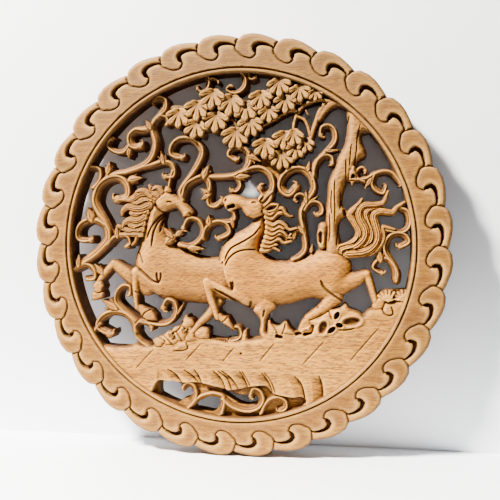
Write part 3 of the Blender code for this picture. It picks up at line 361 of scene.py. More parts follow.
for shift in (-stretch[0], 0.0, stretch[0]):
    head_edge = np.minimum(head_edge, area_distance(across + shift, up, wave_outline))
    from_line = band_distance(across + shift, up, head_line, np.zeros(len(head_line)))[0]
    line_reach = np.minimum(line_reach, from_line)
    inner = hollow_line[3:]
    crescent = np.interp(np.linspace(0, 1, len(inner)), [0, 0.12, 0.3, 0.6, 1], [1.6, 4.0, 4.6, 3.0, 0.5])
    hollow_reach = np.minimum(hollow_reach, band_distance(across + shift, up, inner, crescent)[0])
scoop = scoop_depth*np.clip(-hollow_reach/1.1, 0, 1)*(1 - 0.3*np.clip(-hollow_reach/5, 0, 1))
scoop += 0.8*np.exp(-np.clip(hollow_reach, 0, None)/1.2)
beside = np.clip(1 - line_reach/2.6, 0, 1)
rounding = 0.9*np.clip(1 + head_edge/2.0, 0, 1)**2
face_height = np.where(head_edge > 0, face_height - scoop - 0.5*beside, face_height - rounding)
face_height -= line_depth*np.clip(1.15 - line_reach/0.95, 0, 1)
face_height -= groove_depth*np.clip(1.25 - np.abs(radius - groove)/(groove_width/2), 0, 1)
off_bead = np.abs(radius - opening - bead/2)/(bead/2)
face_height = np.where(radius < groove, face_height - bead_drop*np.clip(off_bead, 0, 1.2)**2.5, face_height)
wavering = 0.12*np.sin(angle*37)[:, None]*np.sin(radius*0.31)
face_height = np.minimum(face_height + wavering, board - 0.02)

# Painted shade, partly also stain, lies where the wood is lower than around it, in the lines and in the
# hollows of the waves
mean_height = blurred(np.vstack([face_height[-20:], face_height, face_height[:20]]), 3)[20:-20]
hollow = np.clip((mean_height - face_height)/1.1 + 0.35*np.clip((board - 2.4 - face_height)/4, 0, 1), 0, 1)
hollow = np.maximum(hollow, 0.95*np.clip(1.3 - line_reach/0.8, 0, 1))
hollow = np.maximum(hollow, np.where(head_edge > -0.4, 0.9*np.clip(-hollow_reach/1.0, 0, 1), 0))
ridge = np.clip((face_height - mean_height)/0.9, 0, 1)

# The ring as a mesh: front, inner and outer walls with a dark upper part of painted shade, and a flat back
x = radius*np.sin(angle)[:, None]
z = radius*np.cos(angle)[:, None]
front = placed(x.ravel(), face_height.ravel(), z.ravel())
rim_x = np.column_stack([x[:, 0], x[:, -1]])
rim_z = np.column_stack([z[:, 0], z[:, -1]])
below = placed(rim_x.ravel(), np.full(2*around, board - wall_step), rim_z.ravel())
back = placed(rim_x.ravel(), np.zeros(2*around), rim_z.ravel())
columns = outward + 1
here = np.arange(around)
after = (here + 1) % around
steps_out = np.arange(outward)
this_row = (here[:, None]*columns + steps_out).ravel()
next_row = (after[:, None]*columns + steps_out).ravel()
first_back = around*columns
upper_in, upper_out = first_back + 2*here, first_back + 2*here + 1
next_in, next_out = first_back + 2*after, first_back + 2*after + 1
walls = [
    np.column_stack([here*columns, after*columns, next_in, upper_in]),
    np.column_stack([after*columns + outward, here*columns + outward, upper_out, next_out]),
    np.column_stack([upper_in, next_in, next_in + 2*around, upper_in + 2*around]),
    np.column_stack([next_out, upper_out, upper_out + 2*around, next_out + 2*around]),
]
back_faces = np.column_stack([upper_in, next_in, next_out, upper_out]) + 2*around
front_faces = np.column_stack([this_row, this_row + 1, next_row + 1, next_row])
border_faces = [np.vstack([front_faces, *walls, back_faces])]
# Painted shade on the walls: the inner walls darkest, the outer ones less
wall_shade = np.concatenate([np.tile([0.95, 0.35], around), np.tile([1.0, 0.5], around)])
border_mesh = make_mesh("border", np.vstack([front, below, back]), border_faces,
                        np.concatenate([hollow.ravel(), wall_shade]),
                        np.concatenate([ridge.ravel(), np.zeros(4*around)]))
finish_piece("border", border_mesh, border_wood)

# The ground fills the foot of the disc: a flat shore, a broken bank below it and rocks at the right.
# It is cut from the board, with folds along the bank, a pierced bed under it and short slanting cuts.


def bends(line):
    """How far a line turns left (+1) or right (-1) at each of its points."""
    step = np.diff(line, axis=0)
    heading = np.unwrap(np.arctan2(step[:, 1], step[:, 0]))
    turn = np.gradient(heading)/np.maximum(np.hypot(*step.T), 1e-6)
    even = np.convolve(np.pad(turn, 6, mode="edge"), np.ones(13)/13, "valid")
    bend = np.clip(even*14, -1, 1)
    return np.append(bend, bend[-1])


def cell_faces(inside, number, crossing):
    """Faces over every cell of a sheet that holds wood, and the rims where they end."""
    corners = [number[:-1, :-1], number[:-1, 1:], number[1:, 1:], number[1:, :-1]]
    kept = [inside[:-1, :-1], inside[:-1, 1:], inside[1:, 1:], inside[1:, :-1]]
    sides = [crossing[0][:-1], crossing[1][:, 1:], crossing[0][1:], crossing[1][:, :-1]]
    kind = sum(kept[k]*2**k for k in range(4))
    faces, rims = {}, []
    for case in range(1, 16):
        chosen = kind == case
        if not chosen.any():
            continue
        ring, on_side = [], []
        for k in range(4):
            if case >> k & 1:
                ring.append(corners[k][chosen])
                on_side.append(False)
            if (case >> k & 1) != (case >> (k + 1) % 4 & 1):
                ring.append(sides[k][chosen])
                on_side.append(True)
        faces.setdefault(len(ring), []).append(np.column_stack(ring))
        for k in range(len(ring)):
            if on_side[k] and on_side[(k + 1) % len(ring)]:
                rims.append(np.column_stack([ring[k], ring[(k + 1) % len(ring)]]))
    return faces, np.vstack(rims)


class Carving:
    """A drawing of one piece on a fine sheet: wood where edge < 0, at a height above the back."""

    def __init__(self, left, right, foot, top, cell=0.5):
        self.cell = cell
        self.across = np.arange(left, right + cell, cell)
        self.up = np.arange(foot, top + cell, cell)
        self.x, self.z = np.meshgrid(self.across, self.up)
        self.edge = np.full(self.x.shape, 50.0)
        self.height = np.zeros(self.x.shape)
        # Painted shade, partly also stain, left in cuts, gaps and hollows
        self.shade_and_stain = np.zeros(self.x.shape)

    def window(self, points, margin):
        """The part of the sheet around some points."""
        lowest = np.min(points, axis=0) - margin
        highest = np.max(points, axis=0) + margin
        return (slice(np.searchsorted(self.up, lowest[1]), np.searchsorted(self.up, highest[1]) + 1),
                slice(np.searchsorted(self.across, lowest[0]), np.searchsorted(self.across, highest[0]) + 1))

    def add(self, window, edge, height, over=False, fillet=0.0):
        """Leave wood inside the edge: merged with what is there, with a fillet, or laid over it."""
        near = edge < 1.5*self.cell
        bare = near & (edge >= 0) & (self.edge[window] < 0)
        old = self.height[window]
        if over:
            merged = height
        else:
            merged = np.maximum(old, height)
            if fillet:
                both = (self.edge[window] < 0) & (edge < 0)
                merged = merged + both*np.maximum(fillet - np.abs(old - height), 0)**2/(4*fillet)
        self.height[window] = np.where(near & ~bare, merged, old)
        if over:
            self.shade_and_stain[window] = np.where(edge < 0, 0, self.shade_and_stain[window])
        self.edge[window] = np.minimum(self.edge[window], edge)

    def darken(self, window, where, share):
        """Leave at least this share of painted shade, partly also stain, in part of a window."""
        self.shade_and_stain[window] = np.where(where, np.maximum(self.shade_and_stain[window], share), self.shade_and_stain[window])

    def band(self, points, root, tip, top, drop=3.0, lines=(), over=False, fillet=0.0, tip_top=None,
             crest=0.0, fullness=1.0):
        """A band along a curve: round, or with its crest near the outer edge of each bend."""
        line = smooth_line(points)
        share = np.linspace(0, 1, len(line))
        half = (root + (tip - root)*share**fullness)/2
        window = self.window(line, max(root, tip) + 3)
        edge, across, side, place = band_distance(self.x[window], self.z[window], line, half)
        run = np.concatenate([[0], np.cumsum(np.hypot(*np.diff(line, axis=0).T))])
        lean = -crest*np.interp(place, run, bends(line))
        offset = across*side - lean
        fall = np.where(offset > 0, offset/(1 - lean), -offset/(1 + lean))
        height = top - drop*np.clip(fall, 0, 1.3)**(2.6 - 3.0*crest)
        if tip_top is not None:
            height = height + (tip_top - top)*np.clip(place/run[-1], 0, 1)
        marks = np.zeros(edge.shape)
        for where in lines:
            off = np.abs(across*side - where)*np.interp(place, run, half)
            marks = np.maximum(marks, np.clip(1.25 - off/0.75, 0, 1))
        if crest:
            inner = np.where(lean < 0, offset, -offset)*np.interp(place, run, half)
            marks = np.clip(1.3 - np.abs(inner - 1.5)/0.55, 0, 1)*np.clip(np.abs(lean)*6, 0, 1)
        self.add(window, edge, height - 1.1*marks, over, fillet)
        # Painted shade in the lines, and on the falling side of a crested band
        self.darken(window, edge < -0.5, 0.75*marks)
        if crest:
            self.darken(window, edge < 0, 0.45*np.clip(fall*1.5 - 0.5, 0, 1))

    def scroll_end(self, points, size, top):
        """The rounded head that ends a scroll, with a small hook turned inwards."""
        line = smooth_line(points)
        tip = line[-1]
        heading = (tip - line[-4])/np.linalg.norm(tip - line[-4])
        inward = np.array([-heading[1], heading[0]])*(1 if bends(line)[-1] >= 0 else -1)
        window = self.window([tip], size + 3)
        reach = np.hypot(self.x[window] - tip[0], self.z[window] - tip[1])
        self.add(window, reach - size, top - 2.4*np.clip(reach/size, 0, 1.3)**2.4)
        hook = [tip, tip + size*(0.7*heading + 0.6*inward), tip + size*(0.5*heading + 1.45*inward)]
        self.band(hook, size*1.35, size*0.3, top, 2.2)

    def area(self, points, top, rim, drop, curved=True, over=False, fillet=0.0, power=2.0):
        """A flat form with its rim rounded down."""
        outline = smooth_line(points, True) if curved else np.asarray(points, float)
        window = self.window(outline, 4)
        edge = area_distance(self.x[window], self.z[window], outline)
        self.add(window, edge, top - drop*(1 - np.clip(-edge/rim, 0, 1))**power, over, fillet)

    def petal(self, root, tip, width, top, drop=2.6, rib=0.9, over=False):
        """A pointed leaf with a cut line down its middle."""
        root, tip = np.array(root, float), np.array(tip, float)
        share = np.linspace(0, 1, 14)
        line = root + (tip - root)*share[:, None]
        half = width/2*np.minimum(0.5 + 2*share, ((1.04 - share)/0.75)**1.1)
        window = self.window(line, width)
        edge, across, _, place = band_distance(self.x[window], self.z[window], line, half)
        length = np.linalg.norm(tip - root)
        middle = np.clip(1.3 - np.abs(across)*np.interp(place/length, share, half)/0.6, 0, 1)
        middle = middle*np.clip(place/length*4, 0, 1)*np.clip((1 - place/length)*5, 0, 1)
        self.add(window, edge, top - drop*np.clip(across, 0, 1.3)**1.8 - rib*middle, over)
        # Painted shade in the middle line
        self.darken(window, edge < -0.6, 0.7*middle*min(rib, 1))

    def bud(self, root, tip, width, top):
        """A small leaf of three points at a joint of the vine."""
        root, tip = np.array(root, float), np.array(tip, float)
        along = tip - root
        beside = np.array([-along[1], along[0]])
        if width > 6:
            for turn in (-1, 1):
                self.petal(root, root + 0.60*along + turn*0.30*beside, width*0.58, top - 0.7, 2.4, 0.8)
        self.petal(root, root + 0.92*along, width*0.8, top, 2.6, 1.1, over=True)

    def leaf(self, hinge, lean, length, lobes, top):
        """A hanging leaf: lobes spread from a hinge and parted by cuts, with their tips standing out."""
        window = self.window([hinge], length + 4)
        dx, dz = self.x[window] - hinge[0], self.z[window] - hinge[1]
        reach = np.hypot(dx, dz)
        turned = np.degrees(np.arctan2(dx, -dz)) - lean
        turned = (turned + 180) % 360 - 180
        # Each lobe fills a sector; beyond the outmost lobes the leaf narrows back to its hinge
        spread = 36.0 if lobes < 6 else 30.0
        outmost = (lobes - 1)/2
        place = np.clip(np.round(turned/spread + outmost), 0, lobes - 1) - outmost
        away = turned - place*spread
        outside = (np.abs(place) == outmost) & (away*place > 0)
        flank = 30.0
        off = np.clip(np.abs(away)/np.where(outside, flank, spread/2), 0, 1)
        notch = np.where(outside, 0.46*off**1.2, 0.25*off**1.3)
        wide = length*(1 - 0.22*(np.abs(place)/outmost)**1.5)*(1 - notch)
        side_end = spread*outmost + flank
        shoulder = np.clip((np.abs(turned) - side_end)/(180 - side_end), 0, 1)
        wide = wide*(1 - shoulder)**1.2 + 3.2*shoulder
        edge = (reach - wide)*0.85
        share = np.clip(reach/np.maximum(wide, 1), 0, 1)
        rise = 2.8*share - 1.6*shoulder
        rounded = 1.5*np.cos(off*math.pi/2)*np.clip(share*1.6, 0, 1)
        outer_part = np.clip(share*3 - 1.3, 0, 1)
        between = np.clip(1.3 - (1 - off)*np.radians(spread/2)*reach/0.75, 0, 1)*~outside*outer_part
        vein = np.clip(1.1 - np.radians(np.abs(away))*reach/0.5, 0, 1)*np.clip(share*4 - 0.8, 0, 1)
        rim = 1.7*(1 - np.clip(-edge/1.6, 0, 1))**2
        self.add(window, edge, top - 2.6 + rise + rounded - 1.5*between - 0.45*vein - rim, over=True)
        # Painted shade in the gaps between lobes and along the veins
        self.darken(window, edge < 0, np.maximum(0.75*between, 0.4*vein))

    def cut(self, points, width, depth, dark=0.9):
        """A cut line with sloping sides, and the painted shade, partly also stain, that lies in it."""
        line = smooth_line(points)
        window = self.window(line, width*2 + 1)
        share = np.linspace(0, 1, len(line))
        half = width*0.58*np.clip(np.minimum(share, 1 - share)*5 + 0.45, 0, 1)
        across = band_distance(self.x[window], self.z[window], line, half)[1]
        self.height[window] -= depth*np.clip(1.45 - across, 0, 1)
        # Painted shade in the cut
        self.darken(window, self.edge[window] < 0, dark*np.clip(1.35 - across, 0, 1))

    def oval(self, middle_x, middle_z, half_x, half_z, slope, margin):
        """The window around an oval, and how far along and over it each place is, in half sizes."""
        lean = math.radians(slope)
        window = self.window([(middle_x, middle_z)], margin)
        dx, dz = self.x[window] - middle_x, self.z[window] - middle_z
        along = (dx*math.cos(lean) + dz*math.sin(lean))/half_x
        over = (dz*math.cos(lean) - dx*math.sin(lean))/half_z
        return window, along, over

    def swell(self, middle_x, middle_z, half_x, half_z, slope, rise):
        """A soft rise or hollow of the surface; a deep hollow gets painted shade."""
        window, along, over = self.oval(middle_x, middle_z, half_x, half_z, slope, 2.2*max(half_x, half_z))
        mound = np.exp(-(along**2 + over**2))
        self.height[window] += rise*mound
        # Painted shade in a deep hollow
        if rise < -1.5:
            self.darken(window, self.edge[window] < 0, np.clip(-rise/4, 0, 0.8)*mound**1.5)

    def pierce(self, points):
        """An opening right through."""
        outline = smooth_line(points, True)
        window = self.window(outline, 8)
        edge = area_distance(self.x[window], self.z[window], outline)
        self.edge[window] = np.maximum(self.edge[window], -edge)

    def trim(self, reach=0.6):
        """Keep to the disc's opening, a little way under the border."""
        self.edge = np.maximum(self.edge, np.hypot(self.x, self.z) - opening - reach)

    def tool_marks(self, size=0.14):
        """Low ripples left by the gouge."""
        across = np.sin(self.x*0.9 + 1.7*np.sin(self.z*0.23))
        upward = np.sin(self.z*1.3 + 1.1*np.sin(self.x*0.31))
        self.height += size*across*upward

    def shading(self):
        """How hollow and how raised each place is, next to the wood around it, as marks for painted shade and
        painted highlight.
        """
        inside = self.edge < 0
        wood_height = np.where(inside, self.height, 0)
        mean = blurred(wood_height, 3)/np.maximum(blurred(inside.astype(float), 3), 1e-3)
        wide = blurred(wood_height, 9)/np.maximum(blurred(inside.astype(float), 9), 1e-3)
        hollow = np.clip((mean - self.height)/1.0, 0, 1) + 0.6*np.clip((wide - self.height)/3.2, 0, 1)
        ridge = np.clip((self.height - mean)/1.0, 0, 1)
        return np.clip(np.maximum(hollow, self.shade_and_stain), 0, 1), ridge

    def lifted(self, name, back_gap):
        """The drawing as a closed mesh: carved front, walls down to the back, and a flat back."""
        self.height = np.minimum(self.height, board - 0.05)
        inside = self.edge < 0
        number = np.cumsum(inside).reshape(inside.shape) - 1
        total = int(inside.sum())
        hollow, ridge = self.shading()
        points = [np.column_stack([field[inside] for field in (self.x, self.height, self.z, hollow, ridge)])]
        crossing = []
        every, first, later = slice(None), slice(None, -1), slice(1, None)
        for near, far in (((every, first), (every, later)), ((first, every), (later, every))):
            cut_here = inside[near] != inside[far]
            fall = np.where(cut_here, self.edge[near] - self.edge[far], 1)
            share = np.clip(self.edge[near]/fall, 0.06, 0.94)
            rows = []
            for field in (self.x, self.z):
                rows.append((field[near] + (field[far] - field[near])*share)[cut_here])
            from_near = inside[near][cut_here]
            tops = np.where(from_near, self.height[near][cut_here], self.height[far][cut_here])
            dark = np.where(from_near, hollow[near][cut_here], hollow[far][cut_here])
            bright = np.where(from_near, ridge[near][cut_here], ridge[far][cut_here])
            points.append(np.column_stack([rows[0], tops, rows[1], dark, bright]))
            crossing.append(np.cumsum(cut_here).reshape(cut_here.shape) - 1 + total)
            total += int(cut_here.sum())
        faces, rims = cell_faces(inside, number, crossing)
        # Walls run from each rim point to a ring just below it, darkened by painted shade, and on to the flat
        # back
        shadow_depth = 3.5
        rim_points, place = np.unique(rims, return_inverse=True)
        place = place.reshape(rims.shape) + total
        everything = np.vstack(points)
        below = everything[rim_points].copy()
        below[:, 1] = np.maximum(below[:, 1] - shadow_depth, 1.0)
        below[:, 3] = 0.95
        below[:, 4] = 0
        behind = below.copy()
        behind[:, 1] = back_gap/unit
        behind[:, 3] = 1.0
        count = len(rim_points)
        everything = np.vstack([everything, below, behind])
        walls = np.column_stack([rims[:, 1], rims[:, 0], place[:, 0], place[:, 1]])
        lower = np.column_stack([place[:, 1], place[:, 0], place[:, 0] + count, place[:, 1] + count])
        faces.setdefault(4, []).extend([walls, lower])
        rows = [np.vstack(group) for group in faces.values()]
        mesh = make_mesh(name, placed(everything[:, 0], everything[:, 1], everything[:, 2]), rows,
                         everything[:, 3], everything[:, 4])
        close_back(mesh)
        return mesh


# The whole ground: along the shore from left to right over the stones and rocks, and back under the border
ground_outline = [
    (-170, -90), (-130, -97.5), (-105, -98), (-99, -94.5), (-90, -97), (-80, -96), (-75.5, -91), (-75, -87),
    (-66, -83.5), (-60, -82), (-54.5, -76), (-51, -69), (-47.5, -66), (-45, -71), (-41, -78), (-35, -79.5),
    (-30, -77.5), (-28, -85), (-24, -88), (-10, -89.5), (3, -90), (6, -85), (8, -80), (10.5, -81),
    (11.5, -88), (22, -87), (29, -84), (31, -70), (35.5, -74), (41, -75), (46, -71), (49, -73.5),
    (53.5, -80.5), (60, -80), (71, -80), (72.5, -74), (69, -70.5), (77, -66.5), (87, -60), (97, -57.5),
    (103, -53.5), (107, -58), (116, -61.5), (119, -64), (122, -60.5), (127, -57.5), (136, -56.5),
    (137.5, -51), (142, -50.5), (150, -50), (165, -45), (170, -100), (120, -170), (0, -175), (-120, -170),
]
ground_top = board - 2.2

# Each step of the bank ends in a bent line, and some of the lines are double
folds = [
    [(-66.5, -118.5), (-58.5, -123.5), (-52.4, -131.4)], [(-50.2, -118.7), (-43, -124), (-37.2, -130.9)],
    [(-40.5, -118.2), (-35.6, -125), (-32.9, -132.9)], [(-22.1, -118.9), (-14, -127), (-9.3, -138.5)],
    [(-13.6, -118.6), (-3.4, -127), (3.5, -138.1)], [(3.5, -118.5), (8.6, -127), (12, -135.7)],
    [(24.6, -119.6), (31, -128), (35.1, -138.1)], [(55.9, -121.9), (63, -131), (66.3, -145.4)],
    [(78.7, -121.2), (81.6, -129), (82.8, -138.6)],
]
second_lines = [
    [(-17, -119), (-8.4, -127), (-3.6, -138.5)], [(6, -118.8), (11, -127), (14.4, -134.6)],
    [(27.4, -119.8), (33.8, -128), (37.8, -138.6)],
]
bank_top = -118.5
ground = Carving(-166, 166, -166, -40, 0.55)
whole = (slice(None), slice(None))
edge = area_distance(ground.x, ground.z, smooth_line(ground_outline, True, 4))
height = ground_top - 2.5*(1 - np.clip(-edge/5, 0, 1))**2
slant = np.zeros(edge.shape)
for points in folds:
    bend = smooth_line(points)
    left = np.interp(-ground.z, -bend[:, 1], bend[:, 0]) - ground.x
    below = np.clip((points[0][1] + 1.5 - ground.z)/9, 0, 1)
    slant = np.maximum(slant, np.where((left > -0.2) & (left < 10), below*(1 - np.clip(left/10, 0, 1)), 0))
bank = (np.clip((bank_top - ground.z)/6, 0, 1)*np.clip((94 - ground.x)/12, 0, 1)
        * np.clip((ground.x + 77)/1.2, 0, 1))
height -= bank*(0.9 + 4.4*slant)

# The sunk bed under the bank, which the piercings go through
bed_outline = [
    (-78, -131), (-60, -131.5), (-35, -131), (-20, -134), (-5, -137), (12, -133.5), (28, -132), (36, -139),
    (52, -142), (63, -142), (66, -149), (40, -165), (-20, -170), (-80, -160),
]
bed = area_distance(ground.x, ground.z, smooth_line(bed_outline, True))
height = np.where(bed < 0, height + (board - 10 - height)*np.clip(-bed/1.5, 0, 1), height)
ground.add(whole, edge, height)
# Painted shadow beside each fold of the bank
ground.shade_and_stain = np.maximum(ground.shade_and_stain, 0.55*np.clip(slant*1.8 - 0.8, 0, 1)*bank)
# Painted shade in the sunk bed
ground.shade_and_stain = np.where(bed < 0, 0.4, ground.shade_and_stain)

for points in folds + second_lines:
    ground.cut(points, 1.1, 1.5, 1.0)

bank_piercings = [
    [(-75.3, -131.5), (-70, -130.7), (-64, -129.7), (-58, -131), (-55, -133.5), (-55, -137), (-51.5, -139.5),
     (-46, -136.7), (-42.8, -142), (-47, -146.8), (-53, -149), (-58, -152.5), (-66, -149.5),
     (-75.3, -144.8)],
    [(-41, -151.5), (-36.5, -147.8), (-30, -145.2), (-20, -144.8), (-14, -148), (-15, -152), (-22.5, -159.5),
     (-32, -158.5), (-41, -156.5)],
    [(-15, -139.5), (-11, -137.7), (-6, -139.5), (1, -142), (11, -142), (15.5, -144.7), (18, -142),
     (20.8, -146.5), (17, -151.2), (10, -152.8), (2, -150.8), (-6, -146.5)],
]
for points in bank_piercings:
    ground.pierce(points)

# Hollows in the rocks: place, half sizes, slope, depth and painted shade; the shallow ones are deeper higher
# up
rock_hollows = [
    (95, -64.5, 2.4, 3.8, -25, 9, 1.0), (97.5, -73.5, 3.4, 2.4, -20, 9, 1.0),
    (90.3, -78, 4.2, 2.4, 35, 9, 1.0), (108.5, -70, 8, 4.2, 8, 2.4, 0.0), (82.3, -76, 4, 6.3, -15, 2.4, 0.0),
]
for middle_x, middle_z, half_x, half_z, slope, depth, dark in rock_hollows:
    near, along, over = ground.oval(middle_x, middle_z, half_x, half_z, slope, 1.6*(half_x + half_z))
    dz = ground.z[near] - middle_z
    reach = np.hypot(along, over)
    tilt = 0.35 if depth < 5 else 0
    bowl = np.clip(3.0*(1.05 - reach), 0, 1)*(1 + tilt*np.clip(dz/half_z + 0.2, -1, 1))
    rim = np.exp(-((reach - 1.25)/0.22)**2)
    ground.height[near] += 0.9*rim - depth*bowl
    # Painted shade in the deep hollows, and under the upper rim of each
    ground.darken(near, reach < 1.15, dark*np.clip(bowl, 0, 1))
    ground.darken(near, (reach < 1.1) & (reach > 0.8) & (dz > 0), 0.85)

# Low stones at the left of the shore: middle, half width, half height, slope and rise
low_stones = [
    (-64, -89, 9, 7, 20, 0.9), (-53.5, -83.5, 8, 7.5, 60, 1.3), (-46.5, -74, 6, 5, 30, 0.9),
    (-32.5, -83.5, 7.5, 6, 15, 1.0), (-75, -93, 6, 5, 0, 0.2),
]
for middle_x, middle_z, half_x, half_z, slope, rise in low_stones:
    near, along, over = ground.oval(middle_x, middle_z, half_x, half_z, slope, max(half_x, half_z) + 3)
    wobble = 1 + 0.09*np.sin(3*np.arctan2(over, along) + middle_x) + 0.05*np.sin(5*np.arctan2(over, along))
    reach = np.hypot(along, over)/wobble
    lump = ground_top + rise - 2.2*np.clip(reach, 0, 1.2)**3
    ground.add(near, (reach - 1)*min(half_x, half_z), lump, over=True)
    # Painted shade along each stone's edge
    ground.darken(near, (reach > 0.96) & (reach < 1.02), 0.35)

# A slab under the hoof, small dark pits between the stones, and a toothed edge on the shore
ground.area([(-60.3, -97), (-55.4, -92.8), (-49.5, -91.7), (-44.6, -92.1), (-45.1, -96.4), (-56.4, -100.5)],
            ground_top + 0.9, 2.5, 2.4, curved=False)
for k in range(9):
    ground.cut([(-24.5 + k*2, -85.5 - k*0.35), (-24 + k*2, -89.6 - k*0.3)], 0.8, 2.0, 0.9)
dark_pits = [(-61, -84.5), (-59.3, -87), (-49.5, -79.5), (-48, -82.5), (-46.4, -80.3), (-60.6, -89.5),
             (5, -101.9)]
for pit_x, pit_z in dark_pits:
    near = ground.window([(pit_x, pit_z)], 3)
    reach = np.hypot(ground.x[near] - pit_x, ground.z[near] - pit_z)
    ground.height[near] -= 3.5*np.clip(1.5 - reach/0.8, 0, 1)
    # Painted shade in each pit
    ground.darken(near, reach < 1.3, 1.0)

# Sharp broken rocks between the legs, and the clefts in them
sharp_rocks = [
    [(34, -84), (36.5, -74.5), (40, -80), (42, -84)], [(40, -84), (48, -70.5), (52, -77), (57.5, -83)],
    [(56, -84), (62, -76.5), (69.5, -73.5), (73, -70.5), (71, -76), (75, -80), (66, -79.5), (64, -84)],
]
clefts = [
    [(38, -84.5), (44, -86)], [(57, -82.8), (62, -81.6)], [(64, -83), (71.5, -81)],
    [(71.5, -80), (72.5, -74)],
]
for points in sharp_rocks:
    ground.area(points, ground_top + 0.9, 2.5, 3.2, curved=False, power=1.2)
for points in clefts:
    ground.cut(points, 2.6, 5, 1.0)

# Slanting lines along the top of the bank, and creases and grass blades among the stones
slanting_cuts = [
    ((-97.5, -118.5), (-80.5, -100)), ((-48.5, -110), (-34.5, -94.5)), ((-12.5, -110), (-2, -97)),
    ((23, -108.5), (36.5, -92)), ((63, -111.5), (83, -89)), ((107.5, -106), (133.5, -75)),
]
for points in slanting_cuts:
    ground.cut(points, 1.3, 0.8, 0.7)
rock_cuts = [
    [(44, -83), (46.5, -77.5), (47, -73)], [(33, -70), (37, -77), (40, -83)], [(87.5, -60.5), (90.5, -68)],
    [(77, -66.5), (88, -60)],
    [(139, -51.5), (136.5, -57.5), (139, -62.5), (143, -63.8), (146.3, -61.5), (144.5, -55.5)],
    [(97, -77.5), (104, -77.5), (112, -75.5)], [(-48, -92.5), (-46.5, -98), (-52, -100.5), (-60, -101)],
    [(-58, -82), (-54, -88), (-52, -92)], [(-73, -85), (-66, -90), (-60, -97)],
    [(-51, -72), (-55, -80), (-62, -84)],
]
for points in rock_cuts:
    ground.cut(points, 1.5, 1.5)
for tuft_x, tuft_z in ((-62, -86.5), (-49, -82)):
    for k in range(4):
        blade_top = (tuft_x - 3 + k*1.7, tuft_z + 2.5 - k*0.6)
        blade_foot = (tuft_x - 1.5 + k*1.7, tuft_z - 2 - k*0.6)
        ground.cut([blade_top, blade_foot], 0.9, 1.2)

# Three ribbed fans on the rocks: hinge, length, first and last direction in degrees, height
ribbed_fans = [
    ((147.5, -29), 11.5, -145, -35, 22.5), ((141.5, -51.5), 11.5, 25, 155, 23.2),
    ((156, -50.5), 11, 60, 170, 22.8),
]
for hinge, length, first, last, top in ribbed_fans:
    sweep = np.radians(np.linspace(first, last, 11))
    rim = np.column_stack([hinge[0] + length*np.cos(sweep), hinge[1] + length*np.sin(sweep)])
    near = ground.window(np.vstack([[hinge], rim]), 3)
    dx, dz = ground.x[near] - hinge[0], ground.z[near] - hinge[1]
    reach = np.hypot(dx, dz)/length
    rib = 0.5 + 0.5*np.cos(np.arctan2(dz, dx)*16)
    fan_edge = area_distance(ground.x[near], ground.z[near], np.vstack([[hinge], rim]))
    open_part = np.clip((reach - 0.5)*6, 0, 1)
    ground.add(near, fan_edge, top - 2.2*reach**2 - 1.3*rib*open_part, over=True)
    # Painted shade in the grooves between the ribs
    ground.darken(near, fan_edge < 0, 0.6*rib*open_part)
ground.trim()
ground.tool_marks(0.1)
shore_wood = wood("shore wood", (0.558, 0.251, 0.033), (0.307, 0.123, 0.015), 0.85)
finish_piece("ground", ground.lifted("ground", 0.00005), shore_wood)

# The vines are rounded stems about 6 mm wide that roll up into scrolls between the horses and the border.
# They are cut free all round, with a fine line along each stem and small pointed leaves.
vine_top = board - 4.5
